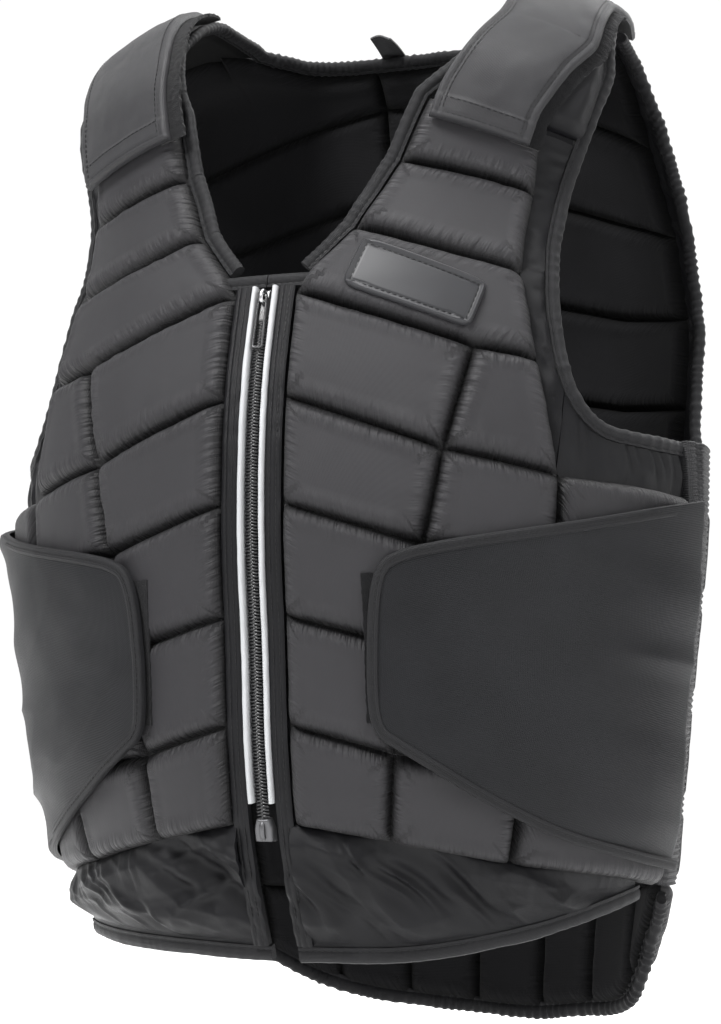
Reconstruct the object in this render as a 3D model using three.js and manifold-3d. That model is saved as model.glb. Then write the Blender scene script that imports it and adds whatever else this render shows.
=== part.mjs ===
// Equestrian body protector: a quilted foam-pad vest with a front zip, shoulder straps that fold
// over onto the chest, and two waist wraps that close over the front.
// Millimetres, +Z up, front towards -Y, wearer's left at +X. The origin is the middle of the
// shoulder line, level with the inside of the shoulders, where the vest sits on its wearer.
import * as THREE from "three";
import { mergeVertices } from "three/addons/utils/BufferGeometryUtils.js";
import Module from "manifold-3d";

const wasm = await Module();
wasm.setup();

// Main sizes of the vest
const CHEST_WIDTH = 394; // across the outside, over the side pads
const CHEST_DEPTH = 268; // twice the depth from the middle to the breast pads
const VEST_LENGTH = 585; // straight down from the shoulder ridge to the back hem
const SHOULDER_ROLL = 53; // extra length of the cloth where it rolls over the shoulder
const SHOULDER_SEAT = 16; // from the shoulder ridge down to the wearer
const SHOULDER_DROP = 28; // how much lower the ridge is at its outer end

// Walls
const PAD_THICKNESS = 17; // foam pad between both covers
const SEAM_THICKNESS = 5; // covers sewn together in a seam between pads
const PAD_BEVEL = 9; // sloping edge of a pad
const CLOTH = 2.4; // lined cloth without foam
const GAP = 0.5; // left between pieces sewn edge to edge
const BAND_GAP = 2.2; // left between puckered cloth and the binding on its edge
const ROUND_GAP = 1.2; // left between pads and the cloth sewn along their stepped edge
const LAYER_GAP = 0.6; // left between pieces that lie on each other

// Trim
const FACING_WIDTH = 8.6;
const FACING_THICKNESS = 4.2;
const FACING_RISE = 1.2; // height of its middle over the seam surface
const FACING_EDGE_RISE = 0.6;
const PIPING_WIDTH = 3;
const PIPING_RISE = 2.4;
const PIPING_EDGE_RISE = 1;
const TEETH_WIDTH = 7.6;
const TOOTH_PITCH = 6;
const TOOTH_RISE = 1.4;
const TOOTH_NOTCH = 0.8; // how deep and how low the coil is between teeth
const TAPE_THICKNESS = 1.2;
const BINDING_WIDTH = 8;
const BINDING_THICKNESS = 5.5;
const HEM_WIDTH = 9;
const GATHER_DEPTH = 1.4; // how far a gathered edge stands out at each pucker
const GATHER_SPREAD = 0.6; // share of that by which its free edge moves out
const NECK_GATHER = 0.6; // share of that on the front neck edges
const GATHER_PITCH = 14;
const SMOOTH_PITCH = 22; // spacing of sections along a plain binding
const SKIRT_WAVE = 3.2; // crumpling of the loose cloth below the pads
const BAND_WAVE = 1.4; // puckers of the cloth between the pads and the armhole
const SKIRT_END = 72; // degrees from the zip to where the loose cloth runs out
const SIDE_JOINT = 86; // degrees from the zip to the front panel's side
const BACK_SIDE = 76; // degrees from the middle of the back to the back panel's side
const WEBBING_THICKNESS = 7;
const WEBBING_RIB = 1.2;
const WEBBING_PITCH = 16;

// Shoulder straps and waist wraps
const STRAP_WIDTH = 46; // at the free end
const STRAP_SLANT = 10; // how much further down its outer corner reaches
const STRAP_THICKNESS = 3.8;
const STRAP_TAPER = 1.2; // how much thinner the strap is along its edges
const YOKE_THICKNESS = 6.5;
const YOKE_TAPER = 1; // how much thinner the yoke is at its ends
const HOOK_THICKNESS = 1.2;
const HOOK_PEEK = 8; // hook strip that shows beside the strap
const HOOK_TUCK = 8; // and that lies under it
const HOOK_CLEAR = 0.9; // between it and the strap
const WRAP_THICKNESS = 2.6;
const WRAP_EDGE = 6;
const WRAP_EDGE_THICKNESS = 1.2;
const PATCH_PEEK = 6; // hook patch that shows beyond the wrap's tip
const PATCH_TUCK = 24;

// Zip hardware
const SLIDER_WIDTH = 7.4;
const SLIDER_LENGTH = 20;
const SLIDER_THICKNESS = 3.2;
const SLIDER_TAPER = 1.4;
const ARCH_WIDTH = 2.4;
const ARCH_LENGTH = 8;
const ARCH_HEIGHT = 5;
const ARCH_BAR = 1.3;
const ARCH_SET_BACK = 1; // from the top of the slider to the arch
const PULLER_LENGTH = 29;
const PULLER_WIRE = 1.3;
const RUNNING_GAP = 0.5;
const STOP_WIDTH = 11;
const STOP_LENGTH = 12;
const STOP_THICKNESS = 5;

// Bare rubber badge on the wearer's left breast
const BADGE_LENGTH = 67;
const BADGE_HEIGHT = 27;
const BADGE_THICKNESS = 2;
const BADGE_RIM = 2.6;
const BADGE_RIM_RISE = 0.8;
const BADGE_ANGLE = 26; // degrees round from the zip to its middle
const BADGE_RUN = 0.372; // down to its middle, a share of CLOTH_RUN
const BADGE_TILT = 22; // degrees that it slopes down with the quilting

// Size tag sewn behind the neck
const TAG_WIDTH = 15;
const TAG_RISE = 12; // how far it stands above the neck edge
const TAG_SEAM = 9; // how far it reaches down outside
const TAG_THICKNESS = 1.4;
const TAG_ANGLE = 184; // degrees round to its middle

// Values worked out from them
const HALF_WIDTH = CHEST_WIDTH / 2;
const HALF_DEPTH = CHEST_DEPTH / 2;
const CLOTH_RUN = VEST_LENGTH + SHOULDER_ROLL;
const PAD_RISE = (PAD_THICKNESS - SEAM_THICKNESS) / 2;
const TAIL_RISE = 0.8 * PAD_RISE;
const ON_PADS = PAD_RISE + LAYER_GAP;
const WRAP_LIFT = ON_PADS + HOOK_THICKNESS + LAYER_GAP;
const TEETH_EDGE = TEETH_WIDTH / 2;
const PIPING_EDGE = TEETH_EDGE + GAP + PIPING_WIDTH;
const FACING_EDGE = PIPING_EDGE + GAP + FACING_WIDTH;
const FACING_LOW = FACING_RISE - FACING_THICKNESS;
const TAPE_TOP = FACING_LOW - GAP;
const YOKE_TOP = YOKE_THICKNESS / 2;
const PULLER_WIDTH = ARCH_WIDTH + 2 * (RUNNING_GAP + PULLER_WIRE);

// Sections of the torso from the shoulder ridge down. run is a share of CLOTH_RUN, drop of
// VEST_LENGTH, frontHalf and backHalf are half widths as shares of HALF_WIDTH, front and back are
// depths and centre is the middle's place as shares of HALF_DEPTH.
const SECTIONS = [
  { run: 0.0, drop: 0.0, frontHalf: 0.863, backHalf: 0.863, front: 0.0, back: 0.0, centre: 0.0 },
  { run: 0.028, drop: 0.003, frontHalf: 0.863, backHalf: 0.863, front: 0.149, back: 0.321, centre: 0.0 },
  { run: 0.067, drop: 0.019, frontHalf: 0.863, backHalf: 0.873, front: 0.351, back: 0.597, centre: 0.0 },
  { run: 0.114, drop: 0.048, frontHalf: 0.858, backHalf: 0.893, front: 0.545, back: 0.739, centre: 0.0 },
  { run: 0.161, drop: 0.089, frontHalf: 0.853, backHalf: 0.914, front: 0.679, back: 0.806, centre: 0.0 },
  { run: 0.208, drop: 0.137, frontHalf: 0.843, backHalf: 0.934, front: 0.731, back: 0.843, centre: 0.0 },
  { run: 0.262, drop: 0.195, frontHalf: 0.832, backHalf: 0.954, front: 0.761, back: 0.896, centre: 0.0 },
  { run: 0.32, drop: 0.258, frontHalf: 0.853, backHalf: 0.964, front: 0.843, back: 0.933, centre: 0.0 },
  { run: 0.371, drop: 0.315, frontHalf: 0.904, backHalf: 0.975, front: 0.933, back: 0.955, centre: 0.0 },
  { run: 0.459, drop: 0.41, frontHalf: 0.95, backHalf: 0.97, front: 0.985, back: 0.95, centre: -0.045 },
  { run: 0.563, drop: 0.523, frontHalf: 0.965, backHalf: 0.965, front: 0.993, back: 0.9, centre: -0.06 },
  { run: 0.649, drop: 0.617, frontHalf: 0.93, backHalf: 0.93, front: 0.993, back: 0.87, centre: -0.022 },
  { run: 0.741, drop: 0.718, frontHalf: 0.89, backHalf: 0.89, front: 0.993, back: 0.86, centre: 0.015 },
  { run: 0.824, drop: 0.809, frontHalf: 0.85, backHalf: 0.85, front: 0.963, back: 0.85, centre: 0.075 },
  { run: 0.908, drop: 0.899, frontHalf: 0.8, backHalf: 0.8, front: 0.851, back: 0.845, centre: 0.134 },
  { run: 1.0, drop: 1.0, frontHalf: 0.76, backHalf: 0.76, front: 0.731, back: 0.806, centre: 0.164 },
];

// How much fuller than an ellipse the back is at the shoulder blades
const FULLNESS = [
  { run: 0.32, corner: 0.28 },
  { run: 0.371, corner: 0.26 },
  { run: 0.459, corner: 0.18 },
  { run: 0.563, corner: 0.05 },
  { run: 0.649, corner: 0.0 },
  { run: 0.908, corner: 0.0 },
  { run: 1.0, corner: 0.04 },
];

// Rows of the front quilting. edge is how far the inner end stands out from the zip facing, a
// share of HALF_WIDTH. angle1 and angle2 are degrees round from the zip at the first divider and
// at the second divider or armhole. run0 to run3 are shares of CLOTH_RUN at the inner end, those
// two places and the side. lean is how much smaller edge is on the wearer's right.
const FRONT_ROWS = [
  { seam: true, edge: 0.297, lean: 0.035, run0: 0.204, angle1: 39, run1: 0.212, angle2: 51, run2: 0.219 },
  { seam: true, edge: 0.231, lean: 0.01, run0: 0.261, angle1: 37, run1: 0.271, angle2: 50, run2: 0.281 },
  { seam: true, edge: 0.134, run0: 0.319, angle1: 31, run1: 0.34, angle2: 45.5, run2: 0.357 },
  { seam: false, edge: 0.033, run0: 0.3535, angle1: 34, run1: 0.392, angle2: 46.5, run2: 0.406 },
  { seam: true, edge: 0, run0: 0.3715, angle1: 35.7, run1: 0.421, angle2: 47.3, run2: 0.431 },
  { seam: true, edge: 0, run0: 0.459, angle1: 30.4, run1: 0.504, angle2: 50.4, run2: 0.524, run3: 0.533 },
  { seam: true, edge: 0, run0: 0.544, angle1: 27.1, run1: 0.579, angle2: 49.5, run2: 0.596, run3: 0.603 },
  { seam: true, edge: 0, run0: 0.632, angle1: 25, run1: 0.658, angle2: 47.7, run2: 0.674, run3: 0.682 },
  { seam: true, edge: 0, run0: 0.717, angle1: 23, run1: 0.74, angle2: 46, run2: 0.754, run3: 0.763 },
  { seam: true, edge: 0, run0: 0.795, angle1: 22.1, run1: 0.808, angle2: 43.6, run2: 0.826, run3: 0.845 },
];
const NECK_CORNER_ROW = 3;
const FIRST_DIVIDED_ROW = 4; // above it a row is one pad wide
const FIRST_FULL_ROW = 5; // above it the armhole cuts the side column away

// Rows of the back quilting, from the neck and shoulders down to the tail. Places are degrees
// round from the middle of the back: 8, 40, the row's own edge, and the side seam. runs are
// shares of CLOTH_RUN at those places.
const BACK_INNER = 8;
const BACK_MIDDLE = 40;
const BACK_ROWS = [
  { edge: 53.5, runs: [0.077, 0.02, 0.018] },
  { edge: 55.5, runs: [0.125, 0.157, 0.172] },
  { edge: 60.5, runs: [0.216, 0.251, 0.266] },
  { edge: 63, runs: [0.312, 0.346, 0.357] },
  { edge: 64, runs: [0.404, 0.434, 0.444] },
  { edge: 62, runs: [0.495, 0.52, 0.528, 0.533] },
  { edge: 62, runs: [0.586, 0.605, 0.608, 0.611] },
  { edge: 62, runs: [0.677, 0.69, 0.693, 0.693] },
  { edge: 62, runs: [0.768, 0.777, 0.779, 0.779] },
  { edge: 62, runs: [0.859, 0.856, 0.85, 0.843] },
];
const BACK_FULL_ROW = 5;

// Back neck edge of the pads: degrees from the middle of the back towards the wearer's right,
// where the neck is narrower, and shares of CLOTH_RUN
const BACK_NECK = [
  { angle: -36, run: 0.022 },
  { angle: -31, run: 0.041 },
  { angle: -24, run: 0.059 },
  { angle: -17, run: 0.069 },
  { angle: -8, run: 0.073 },
  { angle: 8, run: 0.073 },
  { angle: 17, run: 0.07 },
  { angle: 24, run: 0.058 },
  { angle: 32, run: 0.03 },
  { angle: 36.6, run: 0.0195 },
];

// Lower edge of the tail's pads, which hangs lower on the wearer's left: degrees round from the
// middle of the back towards the wearer's right, and shares of CLOTH_RUN
const TAIL_EDGE = [
  { angle: -76, run: 0.852 },
  { angle: -67, run: 0.893 },
  { angle: -62, run: 0.9175 },
  { angle: -54, run: 0.942 },
  { angle: -38, run: 0.951 },
  { angle: -20, run: 0.957 },
  { angle: 0, run: 0.952 },
  { angle: 16, run: 0.945 },
  { angle: 28, run: 0.932 },
  { angle: 44, run: 0.9 },
  { angle: 58, run: 0.879 },
  { angle: 76, run: 0.852 },
];
const TAIL_SEAMS = [-76, -60, -41, -25, -8, 8, 24, 40, 58, 76];

// Free edges, as degrees round from the zip and shares of CLOTH_RUN. The hem hangs lower on the
// wearer's right.
const ARMHOLE_FRONT = [
  { angle: 63.4, run: 0.008 },
  { angle: 66.6, run: 0.075 },
  { angle: 69, run: 0.124 },
  { angle: 63.6, run: 0.219 },
  { angle: 58.6, run: 0.287 },
  { angle: 53, run: 0.371 },
  { angle: 53.3, run: 0.414 },
  { angle: 55.2, run: 0.452 },
  { angle: 60, run: 0.4765 },
  { angle: 70, run: 0.484 },
  { angle: 86, run: 0.486 },
];
const ARMHOLE_BACK = [
  { angle: 118, run: 0.02 },
  { angle: 119, run: 0.09 },
  { angle: 116, run: 0.154 },
  { angle: 112, run: 0.227 },
  { angle: 110.5, run: 0.329 },
  { angle: 109, run: 0.381 },
  { angle: 107.5, run: 0.436 },
  { angle: 105.7, run: 0.467 },
  { angle: 104, run: 0.482 },
];
const FRONT_HEM = {
  left: [
    { angle: 2.8, run: 0.906 },
    { angle: 25, run: 0.904 },
    { angle: 50, run: 0.886 },
    { angle: 68, run: 0.867 },
    { angle: 79, run: 0.857 },
  ],
  right: [
    { angle: 2.8, run: 0.906 },
    { angle: 25, run: 0.9015 },
    { angle: 41, run: 0.8985 },
    { angle: 54, run: 0.895 },
    { angle: 65, run: 0.892 },
  ],
};
const SKIRT_SLANT = 9; // degrees that the wearer's right skirt narrows from its seam to its hem

// Waist wrap from its tip to the side seam: degrees round, and shares of CLOTH_RUN
const WRAP_ROWS = [
  { angle: 19.8, top: 0.61, bottom: 0.709 },
  { angle: 21.2, top: 0.592, bottom: 0.724 },
  { angle: 24, top: 0.584, bottom: 0.733 },
  { angle: 29, top: 0.578, bottom: 0.747 },
  { angle: 38, top: 0.571, bottom: 0.771 },
  { angle: 52, top: 0.561, bottom: 0.799 },
  { angle: 70, top: 0.547, bottom: 0.818 },
  { angle: 85, top: 0.5375, bottom: 0.828 },
];
const PATCH_TOP = 0.6;
const PATCH_BOTTOM = 0.715;

// Shoulder from the chest over the ridge to the back. run is a share of CLOTH_RUN, negative on
// the back. neck is the neck edge of the yoke and lean how much nearer the middle that is on the
// wearer's right. strap and strapRight are the inner edges of both straps. All are shares of
// HALF_WIDTH. lift is the straps' height over the seam surface as a share of PAD_THICKNESS.
const SHOULDER_ROWS = [
  { run: -0.05, neck: 0.56, lean: 0.118, strap: 0.5, strapRight: 0.47, lift: 0.42 },
  { run: -0.016, neck: 0.56, lean: 0.118, strap: 0.52, strapRight: 0.465, lift: 0.38 },
  { run: 0.0, neck: 0.57, lean: 0.125, strap: 0.52, strapRight: 0.46, lift: 0.34 },
  { run: 0.028, neck: 0.572, lean: 0.13, strap: 0.52, strapRight: 0.455, lift: 0.38 },
  { run: 0.067, neck: 0.57, lean: 0.128, strap: 0.525, strapRight: 0.435, lift: 0.39 },
  { run: 0.114, neck: 0.555, lean: 0.113, strap: 0.522, strapRight: 0.405, lift: 0.4 },
  { run: 0.157, neck: 0.505, lean: 0.098, strap: 0.475, strapRight: 0.375, lift: 0.43 },
  { run: 0.18, neck: 0.455, lean: 0.07, strap: 0.445, strapRight: 0.365, lift: 0.48 },
  { run: 0.204, neck: 0.39, lean: 0.035, strap: 0.413, strapRight: 0.352, lift: 0.515 },
  { run: 0.234, neck: 0.36, lean: 0.0, strap: 0.387, strapRight: 0.33, lift: 0.515 },
];
// Width of each strap as a share of STRAP_WIDTH
const STRAP_WIDTHS = [
  { run: -0.05, left: 0.9, right: 1.05 },
  { run: 0.0, left: 1.0, right: 1.2 },
  { run: 0.114, left: 0.94, right: 1.32 },
  { run: 0.234, left: 0.96, right: 1.3 },
];
const STRAP_STEPS = 11;
const STRAP_BACK = -0.05; // seam of the strap on the back, a share of CLOTH_RUN
const STRAP_FRONT = 0.234;
const YOKE_BACK = -0.03; // where the yoke's neck edge is read behind the ridge
const YOKE_INSET = 9; // how much narrower the yoke is behind the ridge
const YOKE_REACH = 14; // width over which its end keeps clear of the back panel
const YOKE_CLEAR = 3;
const HOOK_START = 0.012;

// Heights of the row of zip pieces, as shares of CLOTH_RUN
const NECK_RUN = 0.3527;
const PIPING_END = 0.777;
const SLIDER_RUN = 0.3675;
const STOP_RUN = 0.789;

// Interval of a table that holds a value, and how far through it the value lies
function interval(rows, key, at) {
  let i = 0;
  while (i < rows.length - 2 && rows[i + 1][key] < at) i += 1;
  const part = (at - rows[i][key]) / (rows[i + 1][key] - rows[i][key]);
  return { i, part: THREE.MathUtils.clamp(part, 0, 1) };
}

// Value of a smooth curve through a column of a table
function through(rows, key, column, at) {
  const { i, part } = interval(rows, key, at);
  const span = rows[i + 1][key] - rows[i][key];
  const slope = (k) => {
    const before = rows[Math.max(k - 1, 0)];
    const after = rows[Math.min(k + 1, rows.length - 1)];
    return ((after[column] - before[column]) / (after[key] - before[key])) * span;
  };
  const square = part * part;
  const cube = square * part;
  const start = rows[i][column] * (2 * cube - 3 * square + 1) + slope(i) * (cube - 2 * square + part);
  return start + rows[i + 1][column] * (3 * square - 2 * cube) + slope(i + 1) * (cube - square);
}

// Straight-line value between the rows of a table
function between(rows, key, column, at) {
  const { i, part } = interval(rows, key, at);
  return THREE.MathUtils.lerp(rows[i][column], rows[i + 1][column], part);
}

// Point of the torso's seam surface: angle in degrees round from the zip towards +X, run in
// millimetres of cloth down from the shoulder ridge
function surface(angle, run) {
  const at = THREE.MathUtils.clamp(run / CLOTH_RUN, 0, 1);
  const take = (column) => through(SECTIONS, "run", column, at);
  const turn = THREE.MathUtils.degToRad(angle);
  const sin = Math.sin(turn);
  const cos = Math.cos(turn);
  const onFront = cos >= 0;
  const x = take(onFront ? "frontHalf" : "backHalf") * HALF_WIDTH * sin;
  const fuller = 1 + between(FULLNESS, "run", "corner", at) * sin * sin;
  const reach = onFront ? take("front") * cos : take("back") * cos * fuller;
  const y = (take("centre") - reach) * HALF_DEPTH;
  const nearShoulder = THREE.MathUtils.clamp(1.45 - at / 0.257, 0, 1);
  const sag = SHOULDER_DROP * Math.abs(x / (HALF_WIDTH * 0.76)) ** 3 * nearShoulder;
  return new THREE.Vector3(x, y, SHOULDER_SEAT - take("drop") * VEST_LENGTH - sag);
}

// Directions of the surface at a place: round, down, and straight out of it
function directions(angle, run) {
  const step = 0.05;
  const near = Math.max(run, step);
  const round = surface(angle + step, near).sub(surface(angle - step, near));
  const down = surface(angle, near + step).sub(surface(angle, near - step));
  round.multiplyScalar(0.5 / step);
  down.multiplyScalar(0.5 / step);
  const out = new THREE.Vector3().crossVectors(down, round).normalize();
  return { round, down, out };
}

// Point at a height above the seam surface
function above(place, height) {
  const { out } = directions(place.angle, place.run);
  return surface(place.angle, place.run).addScaledVector(out, height);
}

// Place on the surface reached by going along a vector that lies in it
function moved(place, vector) {
  const { round, down } = directions(place.angle, place.run);
  const rr = round.dot(round);
  const rd = round.dot(down);
  const dd = down.dot(down);
  const rv = round.dot(vector);
  const dv = down.dot(vector);
  const whole = rr * dd - rd * rd;
  return {
    angle: place.angle + (rv * dd - dv * rd) / whole,
    run: place.run + (dv * rr - rv * rd) / whole,
  };
}

// Angle at which the surface is a distance from the middle plane
function angleAt(x, run, onBack = false) {
  const column = onBack ? "backHalf" : "frontHalf";
  const half = through(SECTIONS, "run", column, Math.max(run, 0) / CLOTH_RUN) * HALF_WIDTH;
  const angle = THREE.MathUtils.radToDeg(Math.asin(THREE.MathUtils.clamp(x / half, -1, 1)));
  return onBack ? 180 - angle : angle;
}

function mix(a, b, part) {
  return {
    angle: THREE.MathUtils.lerp(a.angle, b.angle, part),
    run: THREE.MathUtils.lerp(a.run, b.run, part),
  };
}

// Materials
function cloth(colour, roughness = 0.75) {
  return new THREE.MeshStandardMaterial({ color: colour, roughness, metalness: 0 });
}

function metal(colour, roughness) {
  return new THREE.MeshStandardMaterial({ color: colour, roughness, metalness: 1 });
}

const PAD_CLOTH = cloth(0x353438);
const LOOSE_CLOTH = cloth(0x2e2e32, 0.6);
const BINDING_CLOTH = cloth(0x232225);
const WRAP_CLOTH = cloth(0x2c2c30, 0.55);
const HOOK_CLOTH = cloth(0x161617, 0.95);
const WEBBING_CLOTH = cloth(0x1c1c1f);
const PIPING_CLOTH = cloth(0xc9ccd0, 0.45);
const TOOTH_PLASTIC = cloth(0x121214, 0.4);
const BADGE_RUBBER = cloth(0x4a4a4f, 0.6);
const TAG_CLOTH = cloth(0x202024, 0.5);
const DARK_METAL = metal(0x3a3a3d, 0.35);
const GREY_METAL = metal(0x6b6c70, 0.4);

const vest = new THREE.Group();

function addMesh(name, geometry, material, parent = vest) {
  const mesh = new THREE.Mesh(geometry, material);
  mesh.name = name;
  parent.add(mesh);
  return mesh;
}

// Closed body from points and triangles, with its faces turned outwards
function bodyGeometry(points, triangles) {
  const across = new THREE.Vector3();
  let volume = 0;
  for (const [i, j, k] of triangles) {
    volume += across.crossVectors(points[j], points[k]).dot(points[i]);
  }
  const ordered = volume < 0 ? triangles.map(([i, j, k]) => [i, k, j]) : triangles;
  const geometry = new THREE.BufferGeometry().setFromPoints(points);
  geometry.setIndex(ordered.flat());
  geometry.computeVertexNormals();
  return geometry;
}

// Wall with an outer and an inner point for each crossing of a grid. holds says which cells are
// cloth, and every edge of the cloth gets a narrow side wall. side is -1 for a mirrored piece.
function addWall(name, size, outer, inner, material, side = 1, holds = () => true) {
  const [rows, columns] = size;
  const points = [];
  const numbers = new Map();
  const corner = (i, j, layer) => {
    const key = (i * (columns + 1) + j) * 2 + layer;
    if (!numbers.has(key)) {
      const point = layer ? inner(i, j) : outer(i, j);
      numbers.set(key, points.push(point.setX(point.x * side)) - 1);
    }
    return numbers.get(key);
  };
  const triangles = [];
  const quad = (a, b, c, d) => triangles.push([a, b, c], [a, c, d]);
  const has = (i, j) => i >= 0 && j >= 0 && i < rows && j < columns && holds(i, j);
  for (let i = 0; i < rows; i += 1) {
    for (let j = 0; j < columns; j += 1) {
      if (!has(i, j)) continue;
      const [a, e] = [corner(i, j, 0), corner(i, j, 1)];
      const [b, f] = [corner(i + 1, j, 0), corner(i + 1, j, 1)];
      const [c, g] = [corner(i + 1, j + 1, 0), corner(i + 1, j + 1, 1)];
      const [d, h] = [corner(i, j + 1, 0), corner(i, j + 1, 1)];
      quad(a, b, c, d);
      quad(e, h, g, f);
      if (!has(i, j - 1)) quad(b, a, e, f);
      if (!has(i + 1, j)) quad(c, b, f, g);
      if (!has(i, j + 1)) quad(d, c, g, h);
      if (!has(i - 1, j)) quad(a, d, h, e);
    }
  }
  return addMesh(name, bodyGeometry(points, triangles), material);
}

// Wall whose two faces stand at given heights over one grid of places
function addLayer(name, size, place, low, high, material, side = 1, holds = () => true) {
  const outer = (i, j) => above(place(i, j), high(i, j));
  const inner = (i, j) => above(place(i, j), low(i, j));
  return addWall(name, size, outer, inner, material, side, holds);
}

// Places evenly spaced along a smooth path through table rows
function path(rows, pitch) {
  const perDegree = (Math.PI * HALF_WIDTH) / 180;
  const marks = rows.map((row) => new THREE.Vector3(row.angle * perDegree, row.run * CLOTH_RUN, 0));
  const curve = new THREE.CatmullRomCurve3(marks, false, "centripetal");
  const steps = Math.max(2, Math.round(curve.getLength() / pitch));
  return curve.getSpacedPoints(steps).map((mark) => ({ angle: mark.x / perDegree, run: mark.y }));
}

// Places along straight stretches between given places, with each of those kept
function linePath(corners, pitch) {
  const places = [corners[0]];
  for (let k = 1; k < corners.length; k += 1) {
    const [a, b] = [corners[k - 1], corners[k]];
    const length = surface(a.angle, a.run).distanceTo(surface(b.angle, b.run));
    const steps = Math.max(1, Math.round(length / pitch));
    for (let n = 1; n <= steps; n += 1) places.push(mix(a, b, n / steps));
  }
  return places;
}

// Unit vector in the surface square to a path, to the left of its way
function leftOf(places, k) {
  const before = places[Math.max(k - 1, 0)];
  const after = places[Math.min(k + 1, places.length - 1)];
  const along = surface(after.angle, after.run).sub(surface(before.angle, before.run));
  const { out } = directions(places[k].angle, places[k].run);
  return new THREE.Vector3().crossVectors(out, along).normalize();
}

// Strip along a path. free and sewn are the distances of its edges to the left of the path, low
// and high its heights. gather makes every second place stand out, as on drawn-up elastic.
function addStrip(name, places, sizes, material, side = 1) {
  const { free, sewn, low, high, gather = 0 } = sizes;
  const swell = (k) => (k % 2 && k < places.length - 1 ? gather : 0);
  const spots = places.map((place, k) => {
    const left = leftOf(places, k);
    const edge = free + Math.sign(free - sewn) * swell(k) * GATHER_SPREAD;
    return [edge, sewn].map((distance) => moved(place, left.clone().multiplyScalar(distance)));
  });
  const place = (i, j) => spots[i][j];
  const bottom = (i) => low - swell(i);
  const top = (i) => high + swell(i);
  return addLayer(name, [places.length - 1, 1], place, bottom, top, material, side);
}

// Heights of a binding's faces, which stand equally proud of a seam
const BINDING = {
  low: -(BINDING_THICKNESS + SEAM_THICKNESS) / 2,
  high: (BINDING_THICKNESS - SEAM_THICKNESS) / 2,
};

// Lines of a quilting grid: for each table interval its seam, the tops of its bevels, and the
// middle of a wide pad, so that the pad follows the body's curve
function gridLines(count, size, seamAt, wide) {
  const lines = [];
  for (let whole = 0; whole < count - 1; whole += 1) {
    const bevel = Math.min(PAD_BEVEL / size(whole), 0.3);
    lines.push({ whole, part: 0 });
    if (seamAt(whole)) lines.push({ whole, part: bevel });
    if (wide(whole)) lines.push({ whole, part: 0.5 });
    if (seamAt(whole + 1)) lines.push({ whole, part: 1 - bevel });
  }
  lines.push({ whole: count - 1, part: 0 });
  return lines;
}

function onLine(values, line) {
  const next = Math.min(line.whole + 1, values.length - 1);
  return THREE.MathUtils.lerp(values[line.whole], values[next], line.part);
}

// Places across one row of the front quilting, from the zip or neck edge to the side
function frontRowPlaces(number, side) {
  const row = FRONT_ROWS[Math.min(number, FRONT_ROWS.length - 1)];
  const run0 = row.run0 * CLOTH_RUN;
  const edge = (row.edge - (side < 0 && row.lean ? row.lean : 0)) * HALF_WIDTH;
  return [
    { angle: angleAt(FACING_EDGE + GAP + edge, run0), run: run0 },
    { angle: row.angle1, run: row.run1 * CLOTH_RUN },
    { angle: row.angle2, run: row.run2 * CLOTH_RUN },
    { angle: SIDE_JOINT, run: (row.run3 ?? FRONT_ROWS[FIRST_FULL_ROW].run3) * CLOTH_RUN },
  ];
}

// A place of the front quilting between the table's rows and columns
function frontPlace(rowLine, columnLine, side) {
  const across = (number) => {
    const places = frontRowPlaces(number, side);
    const next = places[Math.min(columnLine.whole + 1, places.length - 1)];
    return mix(places[columnLine.whole], next, columnLine.part);
  };
  return mix(across(rowLine.whole), across(rowLine.whole + 1), rowLine.part);
}

function addFrontPanel(name, side) {
  const rowSize = (i) => (FRONT_ROWS[i + 1].run0 - FRONT_ROWS[i].run0) * CLOTH_RUN;
  const rows = gridLines(FRONT_ROWS.length, rowSize, (i) => FRONT_ROWS[i].seam, () => false);
  const columns = gridLines(4, () => CHEST_WIDTH / 4, () => true, () => true);
  const armholeLine = columns.findIndex((line) => line.whole === 2);
  const place = (i, j) => frontPlace(rows[i], columns[j], side);
  const rise = (i, j) => {
    const onRowSeam = rows[i].part === 0 && FRONT_ROWS[rows[i].whole].seam;
    const divided = columns[j].whole !== 1 || rows[i].whole >= FIRST_DIVIDED_ROW;
    return onRowSeam || (columns[j].part === 0 && divided) ? 0 : PAD_RISE;
  };
  const low = (i, j) => -SEAM_THICKNESS - rise(i, j);
  const holds = (i, j) => j < armholeLine || rows[i].whole >= FIRST_FULL_ROW;
  const size = [rows.length - 1, columns.length - 1];
  addLayer(name, size, place, low, rise, PAD_CLOTH, side, holds);
}

// Signed places across one row of the back quilting, from side to side
function backRowPlaces(number) {
  const row = BACK_ROWS[Math.min(number, BACK_ROWS.length - 1)];
  const angles = [BACK_INNER, BACK_MIDDLE, row.edge, BACK_SIDE];
  const sideRun = row.runs[3] ?? BACK_ROWS[BACK_FULL_ROW].runs[3];
  const runs = [...row.runs.slice(0, 3), sideRun];
  const half = angles.map((angle, k) => ({ angle, run: runs[k] * CLOTH_RUN }));
  return [...half.map(({ angle, run }) => ({ angle: -angle, run })).reverse(), ...half];
}

// A place of the back quilting. Its first row follows the curve of the neck.
function backPlace(rowLine, columnLine) {
  const across = (number) => {
    const places = backRowPlaces(number);
    const next = places[Math.min(columnLine.whole + 1, places.length - 1)];
    const place = mix(places[columnLine.whole], next, columnLine.part);
    const last = BACK_NECK[BACK_NECK.length - 1].angle;
    if (number === 0 && place.angle > BACK_NECK[0].angle && place.angle < last) {
      place.run = through(BACK_NECK, "angle", "run", place.angle) * CLOTH_RUN;
    }
    return place;
  };
  const place = mix(across(rowLine.whole), across(rowLine.whole + 1), rowLine.part);
  return { angle: 180 + place.angle, run: place.run };
}

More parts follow.
